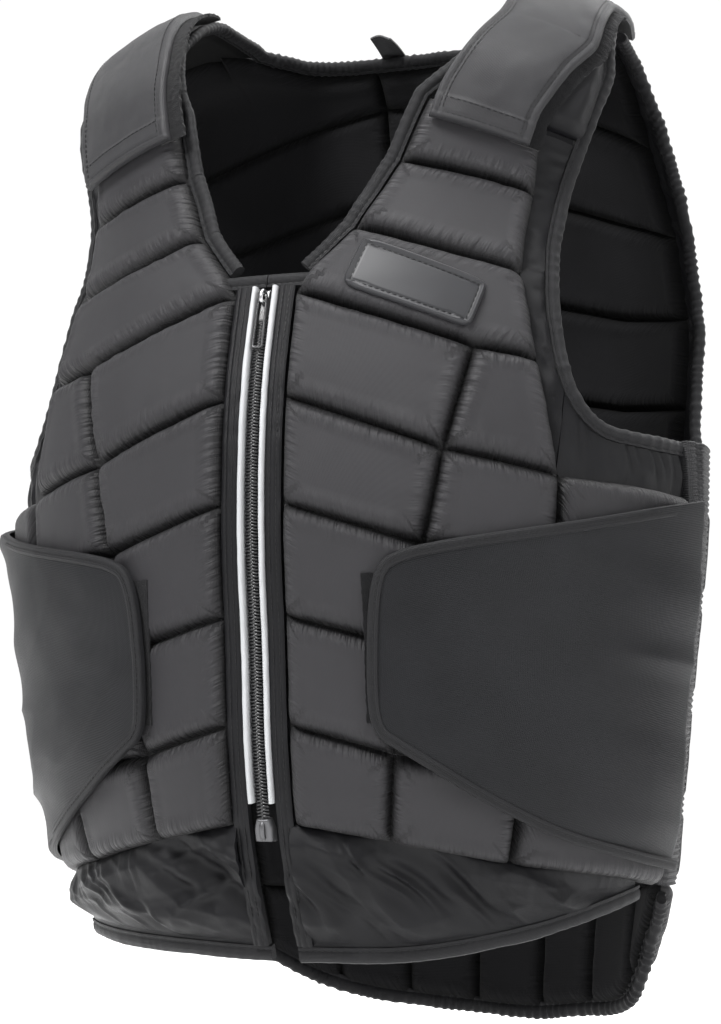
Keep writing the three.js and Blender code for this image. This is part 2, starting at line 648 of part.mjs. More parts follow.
function backColumns() {
  const size = (j) => (j === 3 ? 0.14 : 0.22) * CHEST_WIDTH;
  return gridLines(8, size, () => true, (j) => j === 2 || j === 4);
}

// First row of the back panel, where the neck binding and the yokes are sewn to it
function backTopPlaces() {
  return backColumns().map((column) => backPlace({ whole: 0, part: 0 }, column));
}

function addBackPanel() {
  const rowSize = (i) => (BACK_ROWS[i + 1].runs[0] - BACK_ROWS[i].runs[0]) * CLOTH_RUN;
  const rows = gridLines(BACK_ROWS.length, rowSize, () => true, () => false);
  const columns = backColumns();
  const place = (i, j) => backPlace(rows[i], columns[j]);
  const rise = (i, j) => {
    const { whole, part } = columns[j];
    const undivided = (whole === 2 || whole === 5) && rows[i].whole < BACK_FULL_ROW;
    return rows[i].part === 0 || (part === 0 && !undivided) ? 0 : PAD_RISE;
  };
  const low = (i, j) => -SEAM_THICKNESS - rise(i, j);
  const holds = (i, j) => {
    const { whole } = columns[j];
    return rows[i].whole >= BACK_FULL_ROW || (whole > 0 && whole < 6);
  };
  const size = [rows.length - 1, columns.length - 1];
  addLayer("back_panel", size, place, low, rise, PAD_CLOTH, 1, holds);
}

// Tail below the back's last seam: narrow pads side by side
function addTail() {
  const columns = gridLines(TAIL_SEAMS.length, () => 0.12 * CHEST_WIDTH, () => true, () => false);
  const downShares = [0, 0.16, 0.82, 1];
  const lastRow = backRowPlaces(BACK_ROWS.length - 1);
  const place = (i, j) => {
    const angle = onLine(TAIL_SEAMS, columns[j]);
    const top = between(lastRow, "angle", "run", angle) + 2 * GAP;
    const end = through(TAIL_EDGE, "angle", "run", angle) * CLOTH_RUN;
    return { angle: 180 + angle, run: THREE.MathUtils.lerp(top, end, downShares[i]) };
  };
  const edge = downShares.length - 1;
  const rise = (i, j) => (columns[j].part === 0 || i === 0 || i === edge ? 0 : TAIL_RISE);
  const low = (i, j) => -SEAM_THICKNESS - rise(i, j);
  addLayer("back_tail", [edge, columns.length - 1], place, low, rise, PAD_CLOTH);
}

function addTailHem() {
  const places = path(TAIL_EDGE.map(({ angle, run }) => ({ angle: 180 + angle, run })), GATHER_PITCH);
  const sizes = { free: -HEM_WIDTH - GAP, sewn: -2 * GAP, ...BINDING, gather: GATHER_DEPTH };
  addStrip("back_hem_binding", places, sizes, BINDING_CLOTH);
}

function frontHem(side) {
  return side > 0 ? FRONT_HEM.left : FRONT_HEM.right;
}

// Loose cloth below the front pads, with shallow folds
function addSkirt(name, side) {
  const steps = 11;
  const downShares = [0, 0.3, 0.65, 1];
  const seam = frontRowPlaces(FRONT_ROWS.length - 1, side);
  const place = (i, j) => {
    const near = THREE.MathUtils.lerp(seam[0].angle, SKIRT_END, j / steps);
    const end = between(frontHem(side), "angle", "run", near) * CLOTH_RUN - HEM_WIDTH - GAP;
    const start = between(seam, "angle", "run", near) + 2 * GAP;
    const run = THREE.MathUtils.lerp(start, end, downShares[i]);
    const first = angleAt(FACING_EDGE + GAP, run);
    const last = SKIRT_END - (side < 0 ? SKIRT_SLANT * downShares[i] : 0);
    return { angle: THREE.MathUtils.lerp(first, last, j / steps), run };
  };
  const middle = (i, j) => {
    const deep = Math.sin(downShares[i] * 2.2);
    const turn = side > 0 ? 0.4 : 1.7;
    return SKIRT_WAVE * deep * Math.sin(j * 1.9 + i * 1.3 + turn) - SEAM_THICKNESS / 2;
  };
  const low = (i, j) => middle(i, j) - CLOTH / 2;
  const high = (i, j) => middle(i, j) + CLOTH / 2;
  addLayer(name, [downShares.length - 1, steps], place, low, high, LOOSE_CLOTH, side);
}

function addFrontHem(name, side) {
  const sizes = { free: 0, sewn: HEM_WIDTH, ...BINDING };
  addStrip(name, path(frontHem(side), SMOOTH_PITCH), sizes, BINDING_CLOTH, side);
}

// Half of an armhole: its free edge, and the edge of the pads that it is sewn to. Both are
// followed by one number, from 0 at the shoulder to 1 at the lowest pad corner and 2 at the side.
function armholeHalf({ rows, firstRun, cornerRun, padEdge }) {
  const places = path(rows, 2);
  const last = places.length - 1;
  const start = places.findIndex((place) => place.run >= firstRun * CLOTH_RUN);
  const turn = places.findIndex((place) => place.run >= cornerRun * CLOTH_RUN);
  const free = (w, distance) => {
    const k = w <= 1 ? start + (turn - start) * w : turn + (last - turn) * (w - 1);
    const near = Math.round(k);
    return moved(places[near], leftOf(places, near).multiplyScalar(distance));
  };
  return { free, padEdge };
}

// The bands stop this much short of the pad corners at both ends, as shares of CLOTH_RUN
const BAND_START = 0.002;
const BAND_STOP = 0.003;

function frontPadEdge(w) {
  const rows = FRONT_ROWS;
  const full = rows[FIRST_FULL_ROW];
  const clear = (GAP / HALF_DEPTH) * 90;
  if (w <= 1) {
    const run = THREE.MathUtils.lerp(rows[0].run2 + BAND_START, full.run2 - BAND_STOP, w);
    return { angle: between(rows, "run2", "angle2", run) + clear, run: run * CLOTH_RUN };
  }
  const corner = { angle: full.angle2 + clear, run: full.run2 * CLOTH_RUN };
  const side = { angle: SIDE_JOINT, run: full.run3 * CLOTH_RUN };
  const place = mix(corner, side, w - 1);
  return { angle: place.angle, run: place.run - 2 * GAP };
}

function backPadEdge(w) {
  const rows = BACK_ROWS.map((row) => ({ run: row.runs[2], angle: row.edge }));
  const full = BACK_ROWS[BACK_FULL_ROW];
  const clear = (ROUND_GAP / HALF_DEPTH) * 90;
  if (w <= 1) {
    const run = THREE.MathUtils.lerp(rows[0].run + BAND_START, full.runs[2] - BAND_STOP, w);
    return { angle: 180 - between(rows, "run", "angle", run) - clear, run: run * CLOTH_RUN };
  }
  const corner = { angle: 180 - full.edge - clear, run: full.runs[2] * CLOTH_RUN };
  const side = { angle: 180 - BACK_SIDE, run: full.runs[3] * CLOTH_RUN };
  const place = mix(corner, side, w - 1);
  return { angle: place.angle, run: place.run - 2 * GAP };
}

// Puckered cloth from the pads to the armhole binding, over a stretch of the armhole
function addBand(name, half, distance, from, to, steps, side) {
  const place = (i, j) => {
    const w = THREE.MathUtils.lerp(from, to, i / steps);
    return mix(half.padEdge(w), half.free(w, distance), j / 2);
  };
  const middle = (i, j) => (j === 1 ? BAND_WAVE * Math.cos(i * Math.PI) : 0) - SEAM_THICKNESS / 2;
  const low = (i, j) => middle(i, j) - CLOTH / 2;
  const high = (i, j) => middle(i, j) + CLOTH / 2;
  addLayer(name, [steps, 2], place, low, high, LOOSE_CLOTH, side);
}

const FRONT_HALF = { rows: ARMHOLE_FRONT, firstRun: 0.226, cornerRun: 0.452, padEdge: frontPadEdge };
const BACK_HALF = { rows: ARMHOLE_BACK, firstRun: 0.028, cornerRun: 0.455, padEdge: backPadEdge };

function addArmhole(side, word) {
  const inward = BINDING_WIDTH + BAND_GAP;
  const front = armholeHalf(FRONT_HALF);
  const back = armholeHalf(BACK_HALF);
  addBand(`armhole_band_front_${word}`, front, -inward, 0, 0.985, 12, side);
  addBand(`side_gusset_${word}`, front, -inward, 1.0, 2, 6, side);
  addBand(`armhole_band_back_${word}`, back, inward, 0, 2, 20, side);
  const sizes = { free: 0, sewn: BINDING_WIDTH, ...BINDING, gather: GATHER_DEPTH };
  const frontSizes = { ...sizes, sewn: -BINDING_WIDTH };
  const frontPath = path(ARMHOLE_FRONT, GATHER_PITCH);
  const backPath = path(ARMHOLE_BACK, GATHER_PITCH);
  addStrip(`armhole_binding_front_${word}`, frontPath, frontSizes, BINDING_CLOTH, side);
  addStrip(`armhole_binding_back_${word}`, backPath, sizes, BINDING_CLOTH, side);
}

function shoulderAngle(x, run) {
  return angleAt(x, Math.abs(run), run < 0);
}

// Distance of the neck edge from the middle plane
function neckEdge(runShare, side) {
  const lean = side < 0 ? between(SHOULDER_ROWS, "run", "lean", runShare) : 0;
  return (between(SHOULDER_ROWS, "run", "neck", runShare) - lean) * HALF_WIDTH;
}

// Where the back panel's first row lies at a distance from the middle plane and up to a reach
// beside it, as a negative run
function backTopRun(x, side, reach) {
  const places = backTopPlaces();
  const rows = places.map(({ angle, run }) => ({ x: surface(angle, run).x * side, run }));
  const inOrder = rows.sort((a, b) => a.x - b.x);
  const runs = [-reach, 0, reach].map((beside) => between(inOrder, "x", "run", x + beside));
  return -Math.min(...runs);
}

// Thin padded shoulder of the front panel, under the strap. It reaches over the ridge to the
// back panel.
function addYoke(name, side) {
  const armhole = path(ARMHOLE_FRONT, 2);
  const front = FRONT_ROWS[0].run0 * CLOTH_RUN;
  const downShares = [0, 0.04, 0.16, 0.3, 0.45, 0.6, 0.75, 0.88, 1];
  const size = [downShares.length, 3];
  const armAt = (run) => {
    const k = Math.max(armhole.findIndex((spot) => spot.run >= run), 1);
    const arm = moved(armhole[k], leftOf(armhole, k).multiplyScalar(-BINDING_WIDTH - BAND_GAP));
    return surface(arm.angle, run).x;
  };
  const place = (i, j) => {
    const across = j / size[1];
    const run = downShares[Math.max(i - 1, 0)] * front;
    const neck = neckEdge(i ? run / CLOTH_RUN : YOKE_BACK, side) + 2 * GAP;
    const arm = armAt(run) - (i ? 0 : YOKE_INSET);
    const x = THREE.MathUtils.lerp(neck, arm, across);
    if (i === 0) {
      const back = Math.min(backTopRun(x, side, YOKE_REACH) + YOKE_CLEAR, 0);
      return { angle: shoulderAngle(x, back), run: -back };
    }
    const slope = (FRONT_ROWS[0].run2 - FRONT_ROWS[0].run0) * CLOTH_RUN * across;
    return { angle: angleAt(x, run), run: run + (slope - 3 * GAP) * downShares[i - 1] };
  };
  const low = () => YOKE_TOP - YOKE_THICKNESS;
  const high = (i) => YOKE_TOP - (i === size[0] || i === 0 ? YOKE_TAPER : 0);
  addLayer(name, size, place, low, high, LOOSE_CLOTH, side);
}

// A place on a strap: run over the ridge, and millimetres from the strap's inner edge
function strapPlace(runShare, x, side) {
  const inner = between(SHOULDER_ROWS, "run", side > 0 ? "strap" : "strapRight", runShare) * HALF_WIDTH;
  const across = x / strapWidth(runShare, side);
  const slant = (across - 0.5) * STRAP_SLANT * THREE.MathUtils.clamp(runShare / STRAP_FRONT, 0, 1);
  const run = runShare * CLOTH_RUN + slant;
  return { angle: shoulderAngle(inner + x, run), run: Math.abs(run) };
}

function strapLift(runShare) {
  return between(SHOULDER_ROWS, "run", "lift", runShare) * PAD_THICKNESS;
}

function strapWidth(runShare, side) {
  return STRAP_WIDTH * between(STRAP_WIDTHS, "run", side > 0 ? "left" : "right", runShare);
}

function addStrap(name, side) {
  const columns = 3;
  const share = (i) => THREE.MathUtils.lerp(STRAP_BACK, STRAP_FRONT, i / STRAP_STEPS);
  const place = (i, j) => strapPlace(share(i), (j / columns) * strapWidth(share(i), side), side);
  const low = (i) => strapLift(share(i));
  const high = (i, j) => low(i) + STRAP_THICKNESS - (j === 0 || j === columns ? STRAP_TAPER : 0);
  addLayer(name, [STRAP_STEPS, columns], place, low, high, LOOSE_CLOTH, side);
}

// Hook strip that holds the strap: beside its arm edge, or its neck edge on the other side
function addHookStrip(name, side) {
  const steps = 9;
  const share = (i) => THREE.MathUtils.lerp(HOOK_START, STRAP_FRONT, i / steps);
  const place = (i, j) => {
    const from = side > 0 ? strapWidth(share(i), side) - HOOK_TUCK : -HOOK_PEEK;
    return strapPlace(share(i), from + (HOOK_TUCK + HOOK_PEEK) * j, side);
  };
  const high = (i) => strapLift(share(i)) - HOOK_CLEAR;
  const low = (i) => high(i) - HOOK_THICKNESS;
  addLayer(name, [steps, 1], place, low, high, HOOK_CLOTH, side);
}

// Bindings of the neck: the two sloping fronts, which go over the ridge to the back, the level
// stretch at the zip, and the back
function addNeckBindings() {
  const run = NECK_RUN * CLOTH_RUN + BINDING_WIDTH;
  const atZip = { angle: angleAt(GAP / 2, run), run };
  const front = linePath([atZip, { angle: angleAt(FACING_EDGE, run), run }], FACING_EDGE / 2);
  const frontSizes = { free: BINDING_WIDTH, sewn: 0, ...BINDING };
  const sizes = { free: BINDING_WIDTH + 2 * GAP, sewn: 2 * GAP, ...BINDING };
  const gathered = { ...sizes, gather: GATHER_DEPTH * NECK_GATHER };
  const onYoke = SHOULDER_ROWS.filter(({ run: share }) => share >= 0 && share < FRONT_ROWS[0].run0);
  for (const [sign, word] of [[1, "left"], [-1, "right"]]) {
    const yoke = onYoke.map(({ run: share }) => {
      return { angle: angleAt(neckEdge(share, sign), share * CLOTH_RUN), run: share * CLOTH_RUN };
    });
    const pads = [NECK_CORNER_ROW, 2, 1, 0].map((number) => frontRowPlaces(number, sign)[0]);
    const slope = linePath([...pads, ...yoke.reverse()], GATHER_PITCH);
    addStrip(`neck_binding_${word}`, slope, gathered, BINDING_CLOTH, sign);
    addStrip(`neck_front_binding_${word}`, front, frontSizes, BINDING_CLOTH, sign);
  }
  const corner = (side) => {
    const x = neckEdge(YOKE_BACK, side);
    const back = -backTopRun(x, side, 0);
    return { angle: side > 0 ? angleAt(x, back, true) : 360 - angleAt(x, back, true), run: back };
  };
  const [left, right] = [corner(1), corner(-1)];
  const inside = backTopPlaces().filter(({ angle }) => angle > left.angle + 1 && angle < right.angle - 1);
  const back = linePath([left, ...inside, right], GATHER_PITCH);
  const backSizes = { free: BINDING_WIDTH + 3 * GAP, sewn: 3 * GAP, ...BINDING };
  addStrip("neck_binding_back", back, { ...backSizes, gather: GATHER_DEPTH }, BINDING_CLOTH);
}

// Straight wall beside the zip between two distances from the middle plane
function addZipWall(name, edges, runs, steps, heights, material, side) {
  const place = (i, j) => {
    const run = THREE.MathUtils.lerp(runs[0], runs[1], i / steps) * CLOTH_RUN;
    return { angle: angleAt(edges[j], run), run };
  };
  const low = () => heights.low;
  const high = (i, j) => heights.high[j];
  addLayer(name, [steps, edges.length - 1], place, low, high, material, side);
}

function addZip() {
  const top = NECK_RUN + (BINDING_WIDTH + GAP) / CLOTH_RUN;
  const hem = FRONT_HEM.left[0].run - (HEM_WIDTH + GAP) / CLOTH_RUN;
  const tape = { low: TAPE_TOP - TAPE_THICKNESS, high: [TAPE_TOP, TAPE_TOP] };
  const facing = { low: FACING_LOW, high: [FACING_EDGE_RISE, FACING_RISE, FACING_EDGE_RISE] };
  const piping = { low: FACING_LOW, high: [PIPING_EDGE_RISE, PIPING_RISE, PIPING_EDGE_RISE] };
  for (const [sign, word] of [[1, "left"], [-1, "right"]]) {
    const facingEdges = [PIPING_EDGE + GAP, (PIPING_EDGE + FACING_EDGE) / 2, FACING_EDGE];
    const pipingEdges = [TEETH_EDGE + GAP, PIPING_EDGE - PIPING_WIDTH / 2, PIPING_EDGE];
    const tapeEdges = [GAP, FACING_EDGE - 1];
    addZipWall(`zip_facing_${word}`, facingEdges, [top, hem], 11, facing, LOOSE_CLOTH, sign);
    addZipWall(`zip_piping_${word}`, pipingEdges, [top, PIPING_END], 11, piping, PIPING_CLOTH, sign);
    addZipWall(`zip_tape_${word}`, tapeEdges, [top, PIPING_END], 9, tape, WEBBING_CLOTH, sign);
  }
  addTeeth(SLIDER_RUN + (SLIDER_LENGTH + GAP) / CLOTH_RUN, STOP_RUN - GAP / CLOTH_RUN);
}

// Closed zip coil, its two edges notched by the teeth
function addTeeth(from, to) {
  const steps = Math.round(((to - from) * CLOTH_RUN) / TOOTH_PITCH);
  const place = (i, j) => {
    const run = THREE.MathUtils.lerp(from, to, i / steps) * CLOTH_RUN;
    const x = TEETH_EDGE - (i % 2 ? TOOTH_NOTCH : 0);
    return { angle: angleAt(j ? x : -x, run), run };
  };
  const high = (i) => (i % 2 ? TOOTH_NOTCH : TOOTH_RISE);
  addLayer("zip_teeth", [steps, 1], place, () => FACING_LOW, high, TOOTH_PLASTIC);
}

function asSolid(geometry) {
  const bare = geometry.clone();
  bare.deleteAttribute("normal");
  bare.deleteAttribute("uv");
  const merged = mergeVertices(bare, 1e-4);
  const vertProperties = new Float32Array(merged.attributes.position.array);
  const triVerts = new Uint32Array(merged.index.array);
  return new wasm.Manifold(new wasm.Mesh({ numProp: 3, vertProperties, triVerts }));
}

function asGeometry(solid) {
  const { vertProperties, triVerts } = solid.getMesh();
  const geometry = new THREE.BufferGeometry();
  geometry.setAttribute("position", new THREE.BufferAttribute(new Float32Array(vertProperties), 3));
  geometry.setIndex(new THREE.BufferAttribute(new Uint32Array(triVerts), 1));
  geometry.computeVertexNormals();
  return geometry;
}

function extruded(shape, depth) {
  return new THREE.ExtrudeGeometry(shape, { depth, bevelEnabled: false, curveSegments: 3 });
}

function outline(pairs) {
  return new THREE.Shape(pairs.map(([x, y]) => new THREE.Vector2(x, y)));
}

// Group whose X runs across the zip, Y up along the cloth and Z straight out of it
function onZip(runShare, height) {
  const place = { angle: 0, run: runShare * CLOTH_RUN };
  const { round, down, out } = directions(place.angle, place.run);
  const frame = new THREE.Group();
  const basis = new THREE.Matrix4().makeBasis(round.normalize(), down.normalize().negate(), out);
  frame.quaternion.setFromRotationMatrix(basis);
  frame.position.copy(above(place, height));
  vest.add(frame);
  return frame;
}

// Slider with its arch. The frame's origin is the top of the slider's face.
function addSlider(frame) {
  const half = SLIDER_WIDTH / 2;
  const low = half - SLIDER_TAPER;
  const mid = -SLIDER_LENGTH * 0.45;
  const end = -SLIDER_LENGTH;
  const face = [[-half, 0], [-half, mid], [-low, end], [low, end], [half, mid], [half, 0]];
  const body = extruded(outline(face), SLIDER_THICKNESS);
  const root = SLIDER_THICKNESS / 2; // the arch is rooted this deep in the slider
  const top = SLIDER_THICKNESS + ARCH_HEIGHT;
  const arch = outline([[0, root], [ARCH_LENGTH, root], [ARCH_LENGTH, top], [0, top]]);
  const near = ARCH_BAR;
  const far = ARCH_LENGTH - ARCH_BAR;
  const sill = SLIDER_THICKNESS;
  const window = outline([[near, sill], [near, top - ARCH_BAR], [far, top - ARCH_BAR], [far, sill]]);
  arch.holes.push(window);
  const bridge = extruded(arch, ARCH_WIDTH);
  const across = new THREE.Vector3(-1, 0, 0);
  const down = new THREE.Vector3(0, -1, 0);
  const standing = new THREE.Matrix4().makeBasis(down, new THREE.Vector3(0, 0, 1), across);
  bridge.applyMatrix4(standing.setPosition(ARCH_WIDTH / 2, -ARCH_SET_BACK, 0));
  addMesh("zip_slider", asGeometry(asSolid(body).add(asSolid(bridge))), DARK_METAL, frame);
}

// Wire loop that hangs in the arch, lying along the zip
function addPuller(frame) {
  const pivotY = -ARCH_SET_BACK - ARCH_LENGTH / 2;
  const pivotZ = SLIDER_THICKNESS + (ARCH_HEIGHT - ARCH_BAR) / 2;
  const half = PULLER_WIDTH / 2;
  const inside = half - PULLER_WIRE;
  const top = PULLER_WIRE / 2;
  const end = top - PULLER_LENGTH;
  const cut = 0.9 * PULLER_WIRE;
  const left = [[-half, top], [-half, end + cut], [cut - half, end]];
  const right = [[half - cut, end], [half, end + cut], [half, top]];
  const loop = outline([...left, ...right]);
  const wire = PULLER_WIRE;
  loop.holes.push(
    outline([[-inside, top - wire], [inside, top - wire], [inside, end + wire], [-inside, end + wire]]),
  );
  const puller = addMesh("zip_puller", extruded(loop, PULLER_WIRE), DARK_METAL, frame);
  puller.position.set(0, pivotY, pivotZ - PULLER_WIRE / 2);
}

function addZipStop() {
  const half = STOP_WIDTH / 2;
  const block = outline([[-half, 0], [-half, -STOP_LENGTH], [half, -STOP_LENGTH], [half, 0]]);
  const frame = onZip(STOP_RUN, FACING_LOW);
  addMesh("zip_stop", extruded(block, STOP_THICKNESS), GREY_METAL, frame);
}

// Waist wraps, the binding on their edge, and the hook patch under the tip
function addWrap(side, word) {
  const columns = 10;
  const rows = 5;
  const first = WRAP_ROWS[0].angle;
  const last = WRAP_ROWS[WRAP_ROWS.length - 1].angle;
  const edgeAt = (angle, column) => between(WRAP_ROWS, "angle", column, angle) * CLOTH_RUN;
  const share = (j) => (j / columns) ** 1.25;
  const place = (i, j) => {
    const angle = THREE.MathUtils.lerp(first, last, share(j));
    return { angle, run: THREE.MathUtils.lerp(edgeAt(angle, "top"), edgeAt(angle, "bottom"), i / rows) };
  };
  const low = () => WRAP_LIFT;
  const high = () => WRAP_LIFT + WRAP_THICKNESS;
  addLayer(`waist_wrap_${word}`, [rows, columns], place, low, high, WRAP_CLOTH, side);
  const top = WRAP_ROWS.slice(1).map(({ angle, top: run }) => ({ angle, run })).reverse();
  const bottom = WRAP_ROWS.slice(1).map(({ angle, bottom: run }) => ({ angle, run }));
  const tip = [{ angle: first, run: WRAP_ROWS[0].top }, { angle: first, run: WRAP_ROWS[0].bottom }];
  const edge = path([...top, ...tip, ...bottom], 18);
  const binding = {
    free: 0,
    sewn: WRAP_EDGE,
    low: WRAP_LIFT + WRAP_THICKNESS + LAYER_GAP,
    high: WRAP_LIFT + WRAP_THICKNESS + LAYER_GAP + WRAP_EDGE_THICKNESS,
  };
  addStrip(`waist_wrap_binding_${word}`, edge, binding, BINDING_CLOTH, side);
  const tipX = surface(first, PATCH_TOP * CLOTH_RUN).x;
  const patchPlace = (i, j) => {
    const run = THREE.MathUtils.lerp(PATCH_TOP, PATCH_BOTTOM, i / 3) * CLOTH_RUN;
    return { angle: angleAt(tipX - PATCH_PEEK + (PATCH_PEEK + PATCH_TUCK) * (j / 2), run), run };
  };
  const patchTop = ON_PADS + HOOK_THICKNESS;
  addLayer(`wrap_patch_${word}`, [3, 2], patchPlace, () => ON_PADS, () => patchTop, HOOK_CLOTH, side);
}

// Ribbed webbing over the side seam
function addWebbing(name, side) {
  const from = ARMHOLE_FRONT[ARMHOLE_FRONT.length - 1].run;
  const to = FRONT_ROWS[FRONT_ROWS.length - 1].run3 - (2 * GAP) / CLOTH_RUN;
  const steps = Math.round(((to - from) * CLOTH_RUN) / WEBBING_PITCH);
  const clear = (GAP / HALF_DEPTH) * 90;
  const place = (i, j) => {
    const angle = THREE.MathUtils.lerp(SIDE_JOINT + clear, 180 - BACK_SIDE - clear, j / 2);
    return { angle, run: THREE.MathUtils.lerp(from, to, i / steps) * CLOTH_RUN };
  };
  const low = () => -SEAM_THICKNESS;
  const high = (i) => WEBBING_THICKNESS - SEAM_THICKNESS + (i % 2 ? WEBBING_RIB : 0);
  addLayer(name, [steps, 2], place, low, high, WEBBING_CLOTH, side);
}

function addBadge() {
  const size = [3, 8];
  const shares = [0, 0.1, 0.9, 1];
  const centre = { angle: BADGE_ANGLE, run: BADGE_RUN * CLOTH_RUN };
  const { round, down } = directions(centre.angle, centre.run);
  const tilt = THREE.MathUtils.degToRad(BADGE_TILT);
  const across = round.clone().normalize();
  const lower = down.clone().normalize();
  const length = across.clone().multiplyScalar(Math.cos(tilt)).addScaledVector(lower, Math.sin(tilt));
  const height = lower.clone().multiplyScalar(Math.cos(tilt)).addScaledVector(across, -Math.sin(tilt));
  const columnShare = (j) => {
    const rim = BADGE_RIM / BADGE_LENGTH;
    if (j === 0 || j === size[1]) return j / size[1];
    return THREE.MathUtils.lerp(rim, 1 - rim, (j - 1) / (size[1] - 2));
  };
  const place = (i, j) => {
    const vector = length.clone().multiplyScalar((columnShare(j) - 0.5) * BADGE_LENGTH);
    vector.addScaledVector(height, (shares[i] - 0.5) * BADGE_HEIGHT);
    return moved(centre, vector);
  };
  const low = () => ON_PADS;
  const onRim = (i, j) => i === 0 || j === 0 || i === size[0] || j === size[1];
  const high = (i, j) => ON_PADS + BADGE_THICKNESS + (onRim(i, j) ? BADGE_RIM_RISE : 0);
  addLayer("badge", size, place, low, high, BADGE_RUBBER);
}

function addTag() {
  const neck = through(BACK_NECK, "angle", "run", TAG_ANGLE - 180) * CLOTH_RUN;
  const edge = neck - BINDING_WIDTH - GAP;
  const half = TAG_WIDTH / 2;
  const middle = -surface(TAG_ANGLE, edge).x;
  const place = (i, j) => {
    const run = THREE.MathUtils.lerp(edge - TAG_RISE, edge + TAG_SEAM, i / 2);
    return { angle: 360 - angleAt(middle + half * (j * 2 - 1), run, true), run };
  };
  const low = () => BINDING.high + GATHER_DEPTH + LAYER_GAP;
  const high = () => low() + TAG_THICKNESS;
  addLayer("neck_tag", [2, 1], place, low, high, TAG_CLOTH);
}

addFrontPanel("front_panel_left", 1);
addFrontPanel("front_panel_right", -1);
addBackPanel();
addTail();
addTailHem();
for (const [side, word] of [[1, "left"], [-1, "right"]]) {
  addSkirt(`front_skirt_${word}`, side);
  addFrontHem(`front_hem_binding_${word}`, side);
  addArmhole(side, word);
  addYoke(`shoulder_yoke_${word}`, side);
  addStrap(`shoulder_strap_${word}`, side);
  addHookStrip(`hook_strip_${word}`, side);
  addWrap(side, word);
  addWebbing(`side_webbing_${word}`, side);
}
addNeckBindings();
addZip();
const sliderFrame = onZip(SLIDER_RUN, FACING_LOW);
addSlider(sliderFrame);
addPuller(sliderFrame);
addZipStop();
addBadge();
addTag();

export default vest;
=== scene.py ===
import math
import bpy
import numpy as np
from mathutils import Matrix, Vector


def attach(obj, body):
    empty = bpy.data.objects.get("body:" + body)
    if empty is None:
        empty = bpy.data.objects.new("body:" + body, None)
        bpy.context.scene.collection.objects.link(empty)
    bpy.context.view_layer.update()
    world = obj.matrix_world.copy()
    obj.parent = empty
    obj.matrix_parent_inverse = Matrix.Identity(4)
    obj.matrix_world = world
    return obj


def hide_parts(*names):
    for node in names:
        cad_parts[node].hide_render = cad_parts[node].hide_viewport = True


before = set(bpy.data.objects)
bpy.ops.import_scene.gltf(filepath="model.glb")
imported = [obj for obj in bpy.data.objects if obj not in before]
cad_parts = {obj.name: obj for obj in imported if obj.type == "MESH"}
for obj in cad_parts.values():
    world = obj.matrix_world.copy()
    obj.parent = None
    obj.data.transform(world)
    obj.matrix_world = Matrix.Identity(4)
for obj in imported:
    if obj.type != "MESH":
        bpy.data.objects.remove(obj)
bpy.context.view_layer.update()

# Places on the vest are given as degrees round from the zip towards the wearer's left, and as
# millimetres of cloth down from the shoulder ridge. Points are worked out in millimetres.
MM = 0.001

# Main sizes, the same as in the part's source
CHEST_WIDTH = 394
CHEST_DEPTH = 268
VEST_LENGTH = 585
SHOULDER_ROLL = 53
SHOULDER_SEAT = 16
SHOULDER_DROP = 28
PAD_THICKNESS = 17
PAD_RISE = 6
SEAM_THICKNESS = 5
CLOTH_THICKNESS = 2.4
GAP = 0.5
LAYER_GAP = 0.6
FACING_WIDTH = 8.6
PIPING_WIDTH = 3
TEETH_WIDTH = 7.6
BINDING_WIDTH = 8
BINDING_THICKNESS = 5.5
HEM_WIDTH = 9
SIDE_JOINT = 86  # degrees from the zip to the side webbing
BACK_SIDE = 76  # degrees from the middle of the back to it
TUCK = 0.35  # degrees by which sewn edges go under each other
SKIRT_END = 72
SKIRT_SLANT = 9
SKIRT_REACH = 5
STRAP_WIDTH = 46
STRAP_SLANT = 10
STRAP_THICKNESS = 3.8
STRAP_BACK = -0.05
STRAP_FRONT = 0.234
YOKE_THICKNESS = 6.5
YOKE_BACK = -0.03
YOKE_INSET = 9
HOOK_START = 0.012
HOOK_THICKNESS = 1.2
HOOK_PEEK = 8
HOOK_TUCK = 8
WRAP_THICKNESS = 2.6
PATCH_PEEK = 6
PATCH_TUCK = 24
PATCH_RUNS = (0.6, 0.715)
NECK_RUN = 0.3527
PIPING_END = 0.777
SLIDER_RUN = 0.3675
STOP_RUN = 0.789

HALF_WIDTH = CHEST_WIDTH / 2
HALF_DEPTH = CHEST_DEPTH / 2
CLOTH_RUN = VEST_LENGTH + SHOULDER_ROLL
ON_PADS = PAD_RISE + LAYER_GAP
WRAP_LIFT = ON_PADS + HOOK_THICKNESS + LAYER_GAP
TEETH_EDGE = TEETH_WIDTH / 2
PIPING_EDGE = TEETH_EDGE + GAP + PIPING_WIDTH
FACING_EDGE = PIPING_EDGE + GAP + FACING_WIDTH
BINDING_LOW = -(BINDING_THICKNESS + SEAM_THICKNESS) / 2
BINDING_HIGH = (BINDING_THICKNESS - SEAM_THICKNESS) / 2
BAND_EDGE = BINDING_WIDTH + 0.3
PER_DEGREE = math.pi * HALF_WIDTH / 180  # millimetres of cloth in a degree, where the vest is widest
SIDES = ((1, "left"), (-1, "right"))


def table(names, rows):
    return dict(zip(names.split(), np.array(rows, float).T))


